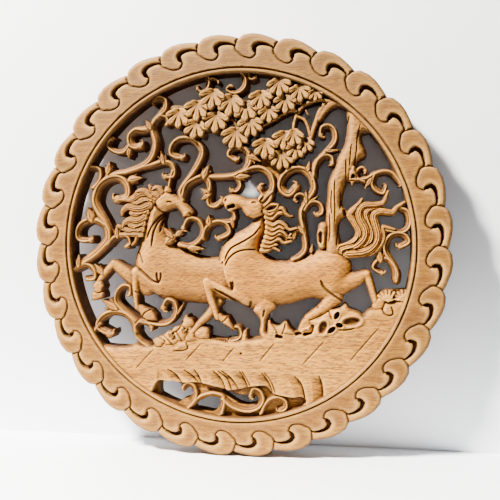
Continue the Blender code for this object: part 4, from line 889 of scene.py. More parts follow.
# Each stem: its points, its widths at the root and the tip, and 1 where it ends in a full round head
vines = [
    ([(-149, 74), (-145, 76), (-139, 76), (-134.5, 72), (-135, 65), (-140, 57)], 5, 5.5, 0),
    ([(-105, 97), (-110, 92), (-116, 91), (-122, 93.5), (-125.5, 98), (-123, 104)], 5.6, 5.6, 0),
    ([(-82, 114), (-90, 111.5), (-98, 111), (-103.5, 106.5), (-104, 100.5), (-101, 96), (-93.5, 96)],
      8.6, 6.6, 1),
    ([(-126, 68), (-105, 72), (-86.5, 80.5), (-78.5, 97), (-81.5, 115), (-72.5, 127), (-69, 133),
      (-69.5, 139), (-74, 142), (-79.5, 140)], 7.3, 7.2, 0),
    ([(-81, 110), (-80, 119), (-75.5, 123.5), (-70, 123.5), (-66.8, 120), (-67, 116.5)], 5.6, 4, 0),
    ([(-161, -22), (-147, -14), (-128.5, 3), (-126.5, 12), (-129, 21), (-138.5, 38), (-139.5, 47),
      (-136, 57), (-128, 64), (-118, 66), (-110.5, 62.5), (-106.5, 55), (-108, 47.5), (-117, 44.5)],
      9.2, 7.6, 1),
    ([(-129, 20), (-138, 24), (-146, 24.5), (-154, 20.5), (-157.5, 13), (-155, 6), (-144, 5)], 7.6, 5.5, 1),
    ([(-127, 1), (-121, 7), (-114, 9.5), (-107.5, 8), (-105, 3.5), (-106.5, -0.5)], 5.6, 4.5, 1),
    ([(-52, 43), (-53.5, 53), (-42, 69.5), (-33.2, 87), (-36, 96), (-42.5, 101), (-50, 102.5),
      (-57.5, 100.5), (-62.3, 94.5), (-62, 87.5), (-52.5, 84)], 6.8, 6.2, 0),
    ([(-92, 76), (-82, 78), (-73, 80), (-65.5, 79), (-61, 74), (-61.5, 67.5), (-69, 66)], 6.6, 5, 1),
    ([(-61.5, 72), (-64, 64), (-66, 52)], 4.5, 3.4, 0),
    ([(-52, 48), (-48, 58), (-34, 65.2), (-27.5, 62), (-25.5, 55), (-26, 41.5), (-21.5, 38), (-14, 42)],
      7.2, 5.5, 1),
    ([(-28, 65.5), (-4, 66.3), (14, 72.8), (24, 72.5), (32, 67), (34.7, 59), (33, 51.5), (27.5, 48.3),
      (23, 54)], 6.2, 6.2, 1),
    ([(-9, 65), (-3, 65), (2, 61.5), (3.5, 57), (0.5, 52.5), (-4, 52)], 5, 4.4, 1),
    ([(9, 71), (12.3, 79), (11, 87), (5, 92.5), (-2.5, 92), (-6.5, 86.5), (-0.5, 81.5)], 7.8, 5.6, 0),
    ([(54, -13), (61, -8.5), (65.5, -1), (63.7, 17), (62.3, 27), (63.5, 36), (72.5, 51), (72.7, 59),
      (69, 67), (61, 72), (52, 71), (45, 65), (42.3, 57), (45, 51), (50.5, 48.8), (57, 55)], 5.8, 7.8, 0),
    ([(66.5, 38), (65.5, 44.5), (61, 48), (57, 46.5), (56, 43)], 4.5, 4, 0),
    ([(65, 34), (69, 38.5), (75, 40.5), (80, 37), (80.5, 31.5), (76.5, 29)], 5, 5, 0),
    ([(65, 12), (60, 14), (54.5, 12.5), (48, 6.5)], 4.5, 3, 0),
    ([(73.5, 66), (75, 77), (88, 91), (92.5, 98), (92.5, 106), (87.5, 111), (81.5, 110), (80, 103)],
      6.2, 5, 0),
    ([(72.5, 62), (74.5, 72), (78.5, 80), (84, 83.7), (89.5, 81.8), (90.5, 76.5)], 5.6, 4.5, 0),
    ([(-55, 1), (-46, 0), (-38.5, 3.5), (-33.5, 10), (-33, 18), (-38, 24.5), (-46, 25.5), (-51, 17)],
      5.6, 4.5, 1),
    ([(-32, 7), (-29.5, 15), (-23.5, 21), (-15.5, 22.5), (-9, 19.3), (-7.2, 12.5), (-16.5, 7)], 5.6, 5, 1),
    ([(-12, 23), (-6, 23.5), (-2.2, 26.5), (-3, 32.5)], 5, 5, 0),
    ([(120, 60), (114.5, 63.5), (113.7, 69), (117.5, 72), (120.7, 69.5)], 5, 4, 0),
    ([(107, 62), (119, 62), (128, 65.7), (137, 68.2), (145, 66.5), (153, 58)], 5, 5, 0),
    ([(129.5, 66), (127.7, 58), (131, 51.8), (136.5, 49.2), (139, 55)], 6.7, 4, 0),
    ([(149.5, -32), (149.5, -23), (140.8, -8), (139.3, 0), (142.5, 7.7), (149.5, 11.3), (156.5, 9.5),
      (159.5, 4), (152, -0.5)], 6.7, 5.6, 0),
    ([(148.5, -30), (148, -22), (144.5, -15.5), (138.5, -12), (132, -14), (129, -20), (136, -25)],
      6.2, 4.4, 1),
    ([(-162, -23), (-153, -19.5), (-146, -20), (-141, -25), (-141, -31.5), (-148, -33)], 6.6, 4.5, 0),
    ([(-99, -73), (-113, -61), (-118, -53.5), (-117, -45), (-111.5, -39.5), (-105.5, -40.5), (-104.5, -47)],
      6.6, 4.4, 1),
    ([(-99, -83), (-101.5, -74.5), (-108, -67.5), (-117.5, -64.7), (-127.5, -66.3), (-134.7, -72.5),
      (-136, -80), (-125.5, -86.5)], 6.7, 7.2, 1),
    ([(-135, -76), (-141, -84)], 5.6, 5.6, 0),
    ([(-86, -98), (-94, -92), (-98.5, -84.5), (-97.5, -77), (-91, -73), (-83, -79)], 5.6, 4.5, 1),
    ([(-94, -73.5), (-82, -75.3), (-70, -75.3), (-62.5, -70.5), (-58.7, -63), (-60.5, -55.5), (-67, -52.7),
      (-71, -60)], 5.6, 5.6, 1),
    ([(-27, 164), (-26.5, 156), (-28, 150), (-32, 146.5), (-37, 149.5)], 5.6, 4, 0),
    ([(-27, 157), (-22, 158.5), (-17, 156)], 4.5, 3, 0),
    ([(6, 164), (8.3, 157), (7.7, 150.5), (3, 146), (-3, 145), (-8, 148), (-5.5, 151)], 6.2, 4, 0),
    ([(13, 163), (14, 158), (18, 158.5)], 5.6, 4.4, 0),
    ([(153, 35), (158.5, 31), (160.5, 24), (159, 17), (153.5, 13.2), (146, 13.5), (137, 15)], 6.2, 4, 0),
    ([(-48, -158), (-41.2, -148), (-39.5, -141), (-42, -135), (-47.5, -132.5), (-52, -137)], 6.2, 4, 0),
    ([(-44, -154), (-37.5, -147), (-29.5, -142.7), (-20, -142), (-12.7, -146), (-14, -160)], 5.6, 5.6, 0),
    ([(-13, -146), (-6, -152), (4, -156), (14, -156.2), (22, -152), (25.2, -145.5), (23, -138.7), (17, -136),
      (14, -143)], 6.2, 4.4, 0),
    ([(24, -159), (28, -151), (33.5, -145.5), (40.5, -143.8), (46.5, -147), (47, -152.5), (42, -156)],
      5.6, 5.6, 0),
    ([(-3, -78.5), (1.5, -78), (4.3, -82.5), (2, -87.5), (-6, -91)], 4.5, 5, 0),
]

# The small leaves of the vines: root, tip and width
vine_leaves = [
    ((-105, 93), (-105, 83.5), 8), ((-83, 112), (-89, 122.5), 8), ((-70.5, 79), (-73.5, 92), 7),
    ((-126, 70), (-124.5, 83), 10), ((-105, 63), (-91, 66), 11), ((-143, 24), (-147, 38.5), 12),
    ((-157, -21), (-156, -7.5), 9), ((-117, 8), (-118, 21), 7), ((-31, 65), (-26, 78), 11),
    ((-26, 48.5), (-35, 55.5), 7), ((-26, 48.5), (-35, 43.5), 7), ((1, 65), (14.5, 66), 10),
    ((12, 85), (25, 79), 8), ((68, 70), (69, 80), 6), ((84, 88), (98.5, 89), 5.5),
    ((66.5, 40), (66, 53.5), 6), ((69, 40), (78.5, 47.5), 4.5), ((64, 12), (57.5, 20), 7),
    ((56, 14), (54, 3), 6), ((-46, -2), (-30, -3), 9), ((-26, 20), (-26.5, 30.5), 9),
    ((-4, 24), (-2.5, 15.5), 6), ((126, 62), (119.5, 52), 6), ((135, -14), (133.5, -2), 9),
    ((71, -6), (72, 2), 4.5), ((-57.5, -66), (-49.5, -53), 3.6), ((-118, -62), (-135, -52), 11),
    ((-132, -28), (-141, -17), 8), ((-68, 3), (-56, 12), 12), ((-62, 8), (-73, 19), 8),
    ((-58, 10), (-50, 16), 7),
]
scrolls = Carving(-166, 166, -166, 166)
for points, root, tip, headed in vines:
    scrolls.band(points, root*1.08, tip*1.05, vine_top + 0.6, 4.0, crest=0.42)
    head_share, head_rise = (0.60, 0.6) if headed else (0.52, 0.4)
    scrolls.scroll_end(points, tip*head_share, vine_top + head_rise)
for root, tip, width in vine_leaves:
    scrolls.bud(root, tip, width, vine_top + 0.9)
scrolls.trim()
scrolls.tool_marks(0.05)
vine_wood = wood("vine wood", (0.316, 0.132, 0.015), (0.167, 0.061, 0.007), 0.5)
finish_piece("scrolling_vines", scrolls.lifted("scrolling_vines", 0.0001), vine_wood)

# The tree stands at the right: a knotted trunk that forks near the border, and thin bent branches.
# The bark is left as long shallow gouge cuts.
tree_top = board - 2.5
trunk = [
    (85, -8), (85, 12), (83.8, 28), (85.5, 45), (86.5, 58), (90, 68), (93.5, 77), (97, 86), (101, 93),
    (103, 102), (104, 113), (105, 130), (126, 108), (118, 103), (118.5, 95), (121.3, 88), (121.5, 83),
    (115, 78), (112, 71), (108, 63), (103.5, 58), (99.5, 40), (103.5, 33), (103.5, 28), (98.5, 23),
    (96.5, 14), (99, -8),
]
tree = Carving(15, 135, -12, 165)
tree.area([(22, 82), (31, 84), (40, 77), (48, 72), (44, 66), (38.5, 60), (36, 66), (24, 74)],
          board - 9, 3, 1.5)
branches = [
    ([(88, 134), (78, 136), (70, 134), (64, 131), (58.5, 124), (55.3, 116), (54, 106)], 4.4, 3.2),
    ([(59, 126.5), (50, 126), (43, 122.5), (36.5, 118.5), (26, 113)], 3.6, 2.4),
    ([(84, 133), (79, 125), (76, 117), (73.5, 110), (70, 99)], 5, 5), ([(66, 126), (68, 122)], 1.6, 1.6),
    ([(70, 103), (67.5, 112), (64.5, 117.5), (58, 121)], 3.8, 2.6),
    ([(78, 118), (85, 128), (95, 133.5), (108, 130)], 6, 9), ([(62, 132.5), (48, 135)], 3.0, 2.6),
]
for points, root, tip in branches:
    tree.band(points, root, tip, board - 4.5, 2.0)
tree.area(trunk, tree_top, 7, 5)
bark_lines = [
    [(103, 80), (103, 68), (102.5, 56)], [(116, 112), (113.3, 100), (112.6, 88), (111, 78), (110.5, 70)],
    [(93, 62), (92.5, 50), (93, 36), (92.7, 22)], [(98, 50), (98, 42), (97.6, 34)],
    [(98, 100), (104, 112), (106, 120)], [(88, 30), (88.5, 15), (87.5, 4)], [(96, 20), (95, 10), (94.5, 0)],
    [(90, 52), (89.5, 40), (90, 30)], [(108, 94), (107, 84), (106.5, 74)],
]
for points in bark_lines:
    tree.cut(points, 1.0, 1.8, 1.0)

# A broken stub, and the knots of the trunk
tree.petal((109.5, 72), (108.5, 56), 8.5, tree_top + 0.6, rib=0)
tree.cut([(109.8, 66), (108.5, 60)], 2.6, 5, 1.0)
tree.band([(82, 18), (80.5, 9), (81, 0)], 9, 7, board - 3.5)
tree.cut([(79.5, 13), (80, 3)], 3, 5, 1.0)
tree.cut([(101.3, 33), (102, 29)], 2.4, 3, 1.0)
tree.trim()
tree.tool_marks(0.12)
bark_wood = wood("trunk wood", (0.400, 0.165, 0.020), (0.200, 0.074, 0.008), 0.75)
finish_piece("tree", tree.lifted("tree", 0.00015), bark_wood)

# The foliage is a bank of hanging leaves cut from the board, each with four to six lobes, one above another.
# Every lobe is cut with a raised middle and a line down it, and dark gaps show between the leaves.
leaf_top = board - 3.0
# Each leaf: its hinge, how many degrees it leans, its length and its number of lobes
leaf_fans = [
    (-55, 131.5, -2, 17, 5), (-37, 138.5, -3, 17.5, 5), (-22, 149, -8, 17.5, 5), (-38, 120.5, -13, 17, 5),
    (-19, 127.5, -4, 18, 5), (-4, 143, -12, 18.5, 5), (10, 137, -6, 18, 5), (24, 146, -3, 16, 5),
    (41, 157.5, 3, 16, 5), (60, 151, 4, 15, 5), (31, 131.5, 6, 14, 5), (47, 141.5, 0, 15.5, 5),
    (14, 121.5, 3, 17, 6), (0, 112, -1, 19, 6), (28, 101, -3, 17, 5), (46, 108, -4, 15.5, 5),
    (54.5, 109.5, 12, 14.5, 4), (57, 96.5, -6, 13.5, 5), (66, 101.5, -8, 12.5, 5), (43, 90.5, 8, 17, 6),
    (75, 147, 0, 10.5, 5),
]
leaves = Carving(-80, 95, 65, 166)
leaves.band([(-68, 130), (-60, 132), (-50, 131)], 6, 6, board - 7, 2)
leaves.band([(-12, 124), (-3, 118.5), (2, 110)], 4, 3.2, board - 6, 2)
leaves.band([(-50, 124), (-20, 138), (10, 130), (40, 148), (70, 146)], 13, 10, board - 9, 2)
leaves.band([(28, 95), (45, 96), (62, 96)], 12, 9, board - 9, 2)
for number, (x, z, lean, length, lobes) in enumerate(sorted(leaf_fans, key=lambda fan: fan[1])):
    leaves.leaf((x, z - 3.4), lean, length, lobes, leaf_top + (number % 3)*0.6)
leaves.trim()
leaf_wood = wood("leaf wood", (0.353, 0.163, 0.022), (0.195, 0.080, 0.009), 0.5)
finish_piece("leaves", leaves.lifted("leaves", 0.0002), leaf_wood)

# The rear horse gallops left behind the other and turns its head back, with its mane flying.
# It stands a little lower than the front horse, with rounded flanks and fine cuts for the mane.
rear_top = board - 3.8
rear = Carving(-150, 5, -98, 62)
# The foreleg held out in front, in two parts, and its hoof
rear.band([(-119.5, -19), (-110, -26), (-99, -34), (-88, -40)], 10, 18, rear_top - 1.5, 3)
rear.band([(-121.5, -17.5), (-131, -28), (-139.5, -38.5)], 8, 6, rear_top - 1.5, 3)
rear.area([(-139.9, -35), (-143, -39.9), (-141.4, -43.8), (-143.7, -47.2), (-144, -53.9), (-136.9, -53.2),
           (-131, -51.4), (-131, -47.1), (-132.7, -43.7), (-130.9, -39.8), (-133.2, -34)],
          rear_top - 1, 2.5, 2.4, curved=False)
rear.cut([(-142.4, -44.6), (-137, -46.4), (-132, -44.8)], 1.2, 1.6, 1.0)
# The hind leg behind the stones, and its hoof
rear.band([(-18, -54), (-27.1, -66.5), (-34, -73), (-41.7, -82), (-44.5, -86)], 9.5, 4.6, rear_top - 1.5, 3,
          tip_top=board - 0.8)
rear.area([(-42.2, -83), (-45.1, -84.4), (-48.5, -87.6), (-49.6, -91), (-44.6, -91.6), (-36.2, -89.6),
           (-39.6, -86.6), (-39.8, -83.9)], board - 0.7, 2.2, 2, curved=False)

# Body and neck, then the head turned back and its ear
rear_body = [
    (-74, 50), (-81, 46), (-87, 40), (-91, 32), (-93, 22), (-94, 12), (-96, 2), (-98.5, -8), (-100.5, -18),
    (-98, -28), (-90, -38), (-80, -47), (-72, -52.5), (-60, -54), (-45, -55), (-25, -55.5), (-8, -50),
    (0, -35), (-2, -14), (-14, -10.8), (-28, -10.5), (-40, -8.5), (-50, -4), (-58, 0.5), (-65, 5), (-70, 13),
    (-71.8, 22), (-70, 30), (-69, 37),
]
rear.area(rear_body, rear_top, 15, 7.5, fillet=2)
rear_head = [
    (-80, 45), (-76, 51), (-70, 53.5), (-64, 52), (-57, 47.5), (-50, 42), (-44, 36.5), (-41, 32),
    (-42.5, 28.3), (-47.5, 26.2), (-51.5, 27), (-53.5, 31.5), (-58, 35.5), (-64, 34), (-71, 33.3), (-77, 37),
]
rear.area(rear_head, rear_top + 1.4, 7, 4.2, power=2.4)
rear.area([(-69.5, 51), (-68, 57), (-64.5, 56), (-63, 51.5)], rear_top + 1.5, 3, 2)

# The bent foreleg and its hoof
rear.band([(-99, -25.5), (-90, -33), (-76, -40)],
          8.5, 15, rear_top + 0.8, 3.5, fillet=3, tip_top=rear_top - 0.6)
rear.band([(-98.6, -26), (-98.8, -44), (-97.3, -60)], 7.5, 5.2, rear_top + 0.8, 3, fillet=2)
rear.area([(-99, -55), (-97.4, -62), (-92.5, -68.6), (-88, -72.6), (-77, -72.8), (-78.8, -67), (-83.2, -62),
           (-88.2, -59.6), (-93, -57)], rear_top, 2.5, 2.4, curved=False)
rear.cut([(-92, -68.4), (-88.4, -64), (-83, -62)], 1.2, 1.6, 1.0)
# Shoulder, belly, back, cheek and nose
rear.swell(-84, -18, 14, 17, 20, 1.4)
rear.swell(-64, -32, 16, 12, 0, 1.0)
rear.swell(-40, -20, 22, 9, 0, 0.7)
rear.swell(-72, 41, 6, 6, 0, 0.6)
rear.swell(-48.5, 31, 4, 4, 0, 0.5)

# Lines and creases: points, width and depth, which are both enlarged as they are cut
cut_wider, cut_deeper = 1.25, 1.6
rear_cuts = [
    ([(-96.5, -22), (-88, -28.5), (-82, -33.5), (-75.5, -36)], 1.6, 1.8),
    ([(-77, -26), (-76.8, -31), (-75.5, -36)], 1.3, 1.4),
    ([(-73, -26), (-73.2, -31), (-75, -35.5)], 1.3, 1.4),
    ([(-67.3, 32.8), (-75.5, 28.3), (-83.2, 17.2), (-87.6, 7.6)], 1.3, 1.7),
    ([(-67.9, 31.2), (-75.3, 25), (-80.5, 14), (-82.7, -0.9)], 1.3, 1.7),
    ([(-67.3, 29.8), (-72.6, 23.6), (-75, 13.4)], 1.2, 1.6),
    ([(-66.6, 28.4), (-70, 22), (-71.5, 15.6)], 1.1, 1.4), ([(-95.5, -7), (-93, -13), (-91, -17)], 1.3, 1.1),
    ([(-82, 46), (-79, 40), (-77, 35.5), (-72, 32.5), (-66, 32.8)], 1.5, 1.2),
    ([(-67, 41.6), (-64.6, 42.2), (-62, 41)], 1.1, 0.9), ([(-45, 31.5), (-44, 30)], 1.2, 0.8),
    ([(-50.5, 27.6), (-47, 28.6)], 0.9, 0.8), ([(-98.8, -44), (-96, -46)], 1.0, 0.8),
]
for points, width, depth in rear_cuts:
    rear.cut(points, width*cut_wider, depth*cut_deeper, 1.0)

# Wood under the mane
rear.area([(-79, 48), (-86, 52), (-95, 50), (-102, 45), (-102, 42.5), (-99, 37), (-101, 33), (-99, 26),
           (-102, 22), (-98, 18), (-101, 13), (-96, 10), (-93.5, 16), (-93, 25), (-90, 34), (-85, 42)],
          rear_top - 1.4, 4, 2)

# Locks of the mane: points, and widths at the root and the tip
rear_mane = [
    ([(-91.5, 21.5), (-98, 19), (-104, 20.5)], 6, 4.5),
    ([(-92.5, 16), (-99, 13.5), (-106, 14.5), (-116, 19)], 5.5, 3),
    ([(-93.5, 11), (-101, 11), (-114, 10.5)], 4.6, 3), ([(-97.5, 9.5), (-98.8, 4.5), (-102, 0.5)], 2.2, 1.8),
    ([(-88, 33), (-95, 31), (-102, 31.5)], 6, 4.6),
    ([(-90, 28), (-97, 24.5), (-104, 25), (-109.5, 22), (-111.5, 17.5)], 6, 2.4),
    ([(-82, 44), (-90, 44), (-97, 41), (-102, 43.5)], 6.5, 3.4),
    ([(-85, 39.5), (-92, 36.5), (-99, 36), (-106, 37.5), (-111, 34), (-112, 29.5)], 6.5, 2.6),
    ([(-79, 47), (-87, 50.5), (-95, 50), (-101, 45.5), (-109, 45)], 6.5, 4),
    ([(-83, 47.5), (-90, 53), (-97, 52)], 5, 3), ([(-76, 48.5), (-81, 52), (-84.5, 58)], 5.5, 2.2),
    ([(-72, 51), (-76.5, 56), (-81.5, 54)], 4.5, 3),
]
for points, root, tip in rear_mane:
    rear.band(points, root*1.25, tip*1.3, rear_top + 0.8, 3.0, lines=(0.35, -0.1, -0.5), over=True,
              fullness=2.2)
rear.trim()
rear.tool_marks(0.1)
rear_wood = wood("rear horse wood", (0.419, 0.175, 0.019), (0.242, 0.091, 0.009), 0.85)
finish_piece("rear_horse", rear.lifted("rear_horse", 0.00025), rear_wood)

# The front horse is the highest carving: it gallops left with one foreleg raised and its tail streaming.
# Its flanks are smooth and round, and mane and tail are long locks with lines along them.
front_top = board - 1.0
front_horse = Carving(-32, 162, -98, 62)
# The two hind legs and their hooves
front_horse.band([(98, -36), (111, -31.5), (121.5, -26)], 20, 9, front_top - 2, 4)
front_horse.band([(122.5, -26), (126.5, -38), (130.5, -52)], 8.5, 6.5, front_top - 2, 3.5, fillet=1.5)
front_horse.area([(127, -54.5), (133.5, -47), (139.5, -48.5), (137, -57), (129.5, -59)],
                 front_top - 1.5, 3, 2.5)
front_horse.band([(93, -48), (82, -58.5), (67.5, -67.5)], 16, 7, front_top - 2, 4)
front_horse.area([(59, -80.5), (62.5, -69), (69, -66), (71.5, -72), (72, -80.5)], front_top - 2, 3, 2.5)

# Body and neck, then the head and its ear
front_body = [
    (27, 34), (29.5, 24), (29, 12), (25, 2), (24, -4), (30, -9.5), (40, -13.3), (52, -12.8), (63, -9.8),
    (71, -6), (79, -3), (89, -1), (98, -3), (104, -8), (108.3, -16), (109.5, -26), (107.5, -36), (102, -46),
    (94, -52.5), (84, -51.5), (75, -49.5), (67, -50), (57, -53), (46, -55.8), (36, -58), (24, -62),
    (13, -59.5), (3, -55), (-6, -46), (-12, -37), (-16.8, -28), (-18.3, -19), (-16.8, -9), (-13.5, 0),
    (-8, 7), (0, 12.5), (8, 16.5), (14, 21), (18.5, 27),
]
front_horse.area(front_body, front_top, 17, 7.5, fillet=2)
front_head = [
    (-13.3, 42.5), (-10, 46.8), (-4, 48.7), (4, 47.8), (11, 45), (19, 44.7), (25.5, 42), (28, 35),
    (25.5, 28), (18, 25.2), (11.5, 26.8), (7.5, 31), (4.5, 35), (-1, 34.5), (-4.6, 32.2), (-9.3, 35.5),
    (-11.5, 39),
]
front_horse.area(front_head, front_top + 0.5, 7, 4.4, power=2.4)
front_horse.area([(21, 42), (22.5, 47), (26, 48.5), (27, 42)], front_top + 0.3, 3, 2)

# The foreleg that stands on the shore, then the bent one and its hoof
front_horse.area([(17, -60), (22, -67.5), (23.3, -74), (22.3, -81), (24.5, -87), (28, -91), (35.5, -93.5),
                  (33.5, -84), (28.8, -80.5), (29.3, -72), (32, -64.5), (38, -57), (28, -46)],
                 front_top - 0.9, 6, 3.5, fillet=2)
front_horse.band([(-27, -34.5), (-9, -43.5), (10, -50)],
                 10.5, 13, front_top + 0.9, 4, fillet=3, tip_top=front_top - 0.8)
front_horse.band([(-28, -34.5), (-24.5, -48), (-20.5, -59), (-17.5, -68)],
                 9.5, 6, front_top + 0.9, 3, fillet=2)
front_horse.area([(-21, -63), (-19, -68), (-16.5, -70.6), (-13.2, -73), (-10.3, -75), (-5, -78.2),
                  (-0.8, -79.6), (-3.4, -74), (-5.6, -70), (-7.6, -67), (-11.7, -66.2), (-14.6, -63.6)],
                 front_top + 0.3, 2.5, 2.6, curved=False)
front_horse.cut([(-13.6, -72.6), (-10.4, -70.4), (-7.6, -67.4)], 1.2, 1.8, 1.0)
# Shoulder, haunch, belly and cheek
front_horse.swell(6, -24, 17, 17, 30, 1.2)
front_horse.swell(90, -24, 16, 18, 0, 1.0)
front_horse.swell(48, -34, 26, 12, 0, 0.8)
front_horse.swell(18, 36, 6, 6, 0, 0.6)
front_cuts = [
    ([(-26, -30), (-13, -36.5), (-3.5, -42.5)], 2.0, 2.4),
    ([(-20, -41), (-8, -47.3), (2, -53), (7, -57), (13, -58)], 1.8, 2.2),
    ([(12.5, -58), (14.5, -52)], 1.6, 1.6), ([(-5, -34), (-4.6, -38), (-3.5, -42)], 1.4, 1.6),
    ([(-3, -33.5), (-2.6, -38), (-3, -41.5)], 1.4, 1.6), ([(27.5, -60), (26, -67)], 1.3, 1.3),
    ([(80, -32), (84.5, -39.5), (92, -46), (101.5, -52)], 1.7, 1.4),
    ([(23.1, 18.5), (17.9, 11.1), (11.6, 6.6), (4.6, 2.7), (-4, -2), (-8.3, -7.7), (-10.7, -14)], 1.15, 2.0),
    ([(18.5, -3.6), (8.4, -3.9), (-0.2, -6.7), (-6.9, -12.4), (-10.4, -19)], 1.1, 1.8),
    ([(-12.6, -15.2), (-17, -22.8), (-14.6, -32.3), (-7.9, -38.8)], 1.3, 1.6),
    ([(-13.2, -17), (-12.6, -26), (-11.5, -33)], 1.3, 1.8), ([(77, -53), (77.6, -58.5)], 1.2, 1.2),
    ([(103, -50), (109, -43), (114, -37.5)], 1.2, 1.0), ([(-8, 36.6), (-1.6, 38.4)], 2.4, 6),
    ([(-9.8, 42.2), (-9.2, 44)], 1.5, 1.5), ([(15.8, 40.4), (17.6, 40.9), (19.4, 40.2)], 1.3, 1.1),
    ([(10, 27.5), (17, 25.6), (25, 28.5)], 1.4, 1.6),
]
for points, width, depth in front_cuts:
    front_horse.cut(points, width*cut_wider, depth*cut_deeper, 1.0)

# Wood under the mane, with a hollow beside the neck
front_horse.area([(26, 35), (32, 34), (40, 34.5), (37, 25), (42, 20.5), (40, 14), (37, 9), (37, 2), (32, -4),
                  (28, -6.5), (23, -2), (28, 8), (29.5, 20)], front_top - 4.5, 4, 2)
front_horse.swell(24, 5, 3.6, 9, -8, -5.0)
front_mane = [
    ([(24.7, -4.2), (30, -4.5), (35, -1.8), (41.5, -4.6)], 4.6, 2.2),
    ([(25.7, -0.3), (31, -1), (36, 0.8), (39, 1)], 5, 3),
    ([(27, 3.7), (33, 2.8), (38, 5.5), (41.5, 6), (45.5, 2.8), (52.5, 4.5)], 5, 2),
    ([(28.5, 8), (34, 6.9), (39, 10), (44, 11), (48.5, 8), (52, 7.5)], 5, 2),
    ([(29.5, 12.8), (35, 10.6), (41, 13.8), (45.5, 12), (48.5, 9)], 5, 3),
    ([(30, 17.3), (35, 14.8), (41, 17.5), (45, 16)], 5, 3.4),
    ([(30, 22), (35.5, 19.3), (41, 22), (46.5, 19.3), (50.5, 15.3), (57.5, 16.5)], 5.4, 2),
    ([(29, 27), (34.5, 25.3), (39.5, 29.8), (45, 31), (49, 28.2), (53.5, 27.8)], 5, 1.8),
    ([(27, 32.5), (33, 29.5), (39, 34), (44, 35), (47.5, 30), (51, 27.5)], 5.4, 2.4),
    ([(28.5, 35.5), (33, 38.5), (40, 38), (37, 33.5), (31, 32)], 3.4, 2.6),
    ([(27, 37.5), (31, 41), (34, 46), (33, 50)], 4.4, 3.2), ([(25, 42), (30, 47), (35, 51)], 5, 3.4),
]
for points, root, tip in front_mane:
    front_horse.band(points, root, tip, front_top - 0.1, 3.8, lines=(0.25, -0.4), over=True, fullness=2.0)

# Locks of the tail, where each later one lies over those before it
tail_locks = [
    ([(96, -3), (106, 0.5), (113.5, 6), (115.3, 14), (111, 22.5), (106.8, 29), (111, 34.5), (115, 38.5),
      (117.5, 43)], 7.4, 2.6),
    ([(102, -6), (115, -3.3), (124, 3), (126.6, 12.5), (122.5, 23), (121.5, 30.5), (127, 35), (138, 34)],
      8, 2.6),
    ([(108, -8), (122, -7.2), (131.5, -2.5), (136.7, 5), (137.5, 12), (137, 17.5), (147, 15.5)], 5.4, 2.4),
    ([(100, -4.5), (112, -0.5), (119.5, 6.5), (120.8, 15), (116, 25), (115.3, 32), (119.5, 37.2),
      (129, 37.8), (137, 40), (141.2, 50)], 8, 2.6),
    ([(104, -7), (119, -5.8), (128.5, 0), (132.3, 9), (130, 20), (128.5, 28), (134, 31.8), (145, 30.7),
      (149, 35), (156, 40)], 8, 2.6),
]
for points, root, tip in tail_locks:
    front_horse.band(points, root*1.1, tip*1.2, front_top - 1.2, 3.8, lines=(0.45, 0.0, -0.45), over=True,
                     fullness=3.0)
front_horse.trim()
front_horse.tool_marks(0.1)
front_wood = wood("front horse wood", (0.521, 0.212, 0.020), (0.316, 0.116, 0.011), 0.8)
finish_piece("front_horse", front_horse.lifted("front_horse", 0.0003), front_wood)

# A pale wall close behind the panel and a short pale floor under it, seen from the front only.
# Both are plain matt paint, lit by a soft lamp high at the left, a faint one in front and a very dim sky.
plain_paint = bpy.data.materials.new("white paint")
plain_paint.use_nodes = True
paint_tree = plain_paint.node_tree
paint = paint_tree.nodes["Principled BSDF"]
paint.inputs["Base Color"].default_value = (0.86, 0.89, 0.94, 1)
paint.inputs["Roughness"].default_value = 0.7
seen = paint_tree.nodes.new("ShaderNodeNewGeometry")
clear = paint_tree.nodes.new("ShaderNodeBsdfTransparent")
either = paint_tree.nodes.new("ShaderNodeMixShader")
paint_tree.links.new(seen.outputs["Backfacing"], either.inputs["Fac"])
paint_tree.links.new(paint.outputs["BSDF"], either.inputs[1])
paint_tree.links.new(clear.outputs["BSDF"], either.inputs[2])
paint_tree.links.new(either.outputs["Shader"], paint_tree.nodes["Material Output"].inputs["Surface"])

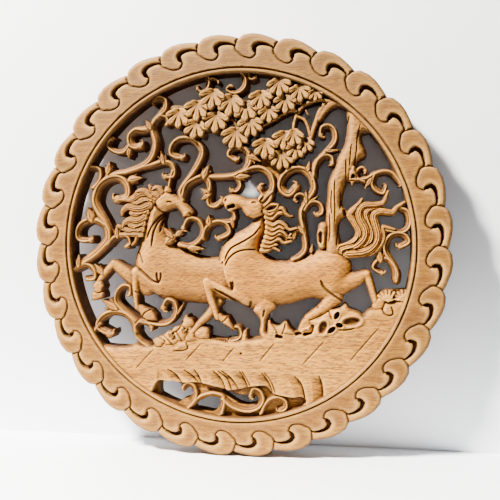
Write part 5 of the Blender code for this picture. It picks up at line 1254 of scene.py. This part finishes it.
floor_level = low[2] - 0.0005
floor_front, floor_back = -0.16, 1.0
wall_low, wall_high = -1.2, 1.6
far_side = 2.5
wall_gap = 0.002
wall_foot = 0.022
wall_turn = math.radians(-1.0)
wall_lean = math.atan2(wall_foot, high[2] - low[2])
floor = bpy.data.meshes.new("floor")
floor.from_pydata([(-far_side, floor_front, floor_level), (far_side, floor_front, floor_level),
                   (far_side, floor_back, floor_level), (-far_side, floor_back, floor_level)], [],
                   [(0, 1, 2, 3)])
wall = bpy.data.meshes.new("wall")
wall.from_pydata([(-far_side, 0, wall_low), (far_side, 0, wall_low), (far_side, 0, wall_high),
                  (-far_side, 0, wall_high)], [], [(0, 1, 2, 3)])
for mesh in (floor, wall):
    mesh.materials.append(plain_paint)
    sheet = bpy.data.objects.new(mesh.name, mesh)
    bpy.context.scene.collection.objects.link(sheet)
wall_board = bpy.data.objects["wall"]
wall_board.rotation_euler = (wall_lean, 0, wall_turn)
wall_board.location = (high[0], high[1] + wall_gap, high[2])


def soft_lamp(name, place, size, power, colour):
    """A square soft lamp turned towards the panel's centre."""
    lamp = bpy.data.lights.new(name, "AREA")
    lamp.size = size
    lamp.energy = power
    lamp.color = colour
    holder = bpy.data.objects.new(name, lamp)
    holder.location = place
    holder.rotation_euler = (centre - Vector(place)).to_track_quat("-Z", "Y").to_euler()
    bpy.context.scene.collection.objects.link(holder)


soft_lamp("window", (-0.95, -0.76, 1.10), 0.24, 330, (1.0, 0.95, 0.87))
soft_lamp("room", (0.2, -1.2, -0.1), 0.6, 1.0, (1.0, 0.98, 0.96))
sky = bpy.data.worlds.new("pale room")
sky.use_nodes = True
sky_light = sky.node_tree.nodes["Background"]
sky_light.inputs["Color"].default_value = (0.93, 0.96, 1.0, 1)
sky_light.inputs["Strength"].default_value = 0.014
bpy.context.scene.world = sky

# The camera stands where the photograph was taken, level with the panel and a little to its right.
# These distances are in the drawing's millimetres, and the lens suits a 36 mm sensor.
view_turn = math.radians(8.36)
view_tilt = math.radians(-1.08)
view_offset = Vector((-13.925, 658.33, 3.890))
focal_length = 50.4
turned = Matrix.Rotation(-view_tilt, 3, "X") @ Matrix.Rotation(-view_turn, 3, "Z")
eye = -(turned.transposed() @ view_offset)
camera_data = bpy.data.cameras.new("camera")
camera_data.lens = focal_length
camera_data.sensor_width = 36
camera_data.clip_start = 0.01
camera = bpy.data.objects.new("camera", camera_data)
bpy.context.scene.collection.objects.link(camera)
sight = turned.transposed()
axes = Matrix((sight @ Vector((1, 0, 0)), sight @ Vector((0, 0, 1)), sight @ Vector((0, -1, 0)))).transposed()
camera.matrix_world = axes.to_4x4()
camera.location = (centre.x + eye.x*unit, centre.y + (eye.y - board)*unit, centre.z + eye.z*unit)
bpy.context.scene.camera = camera
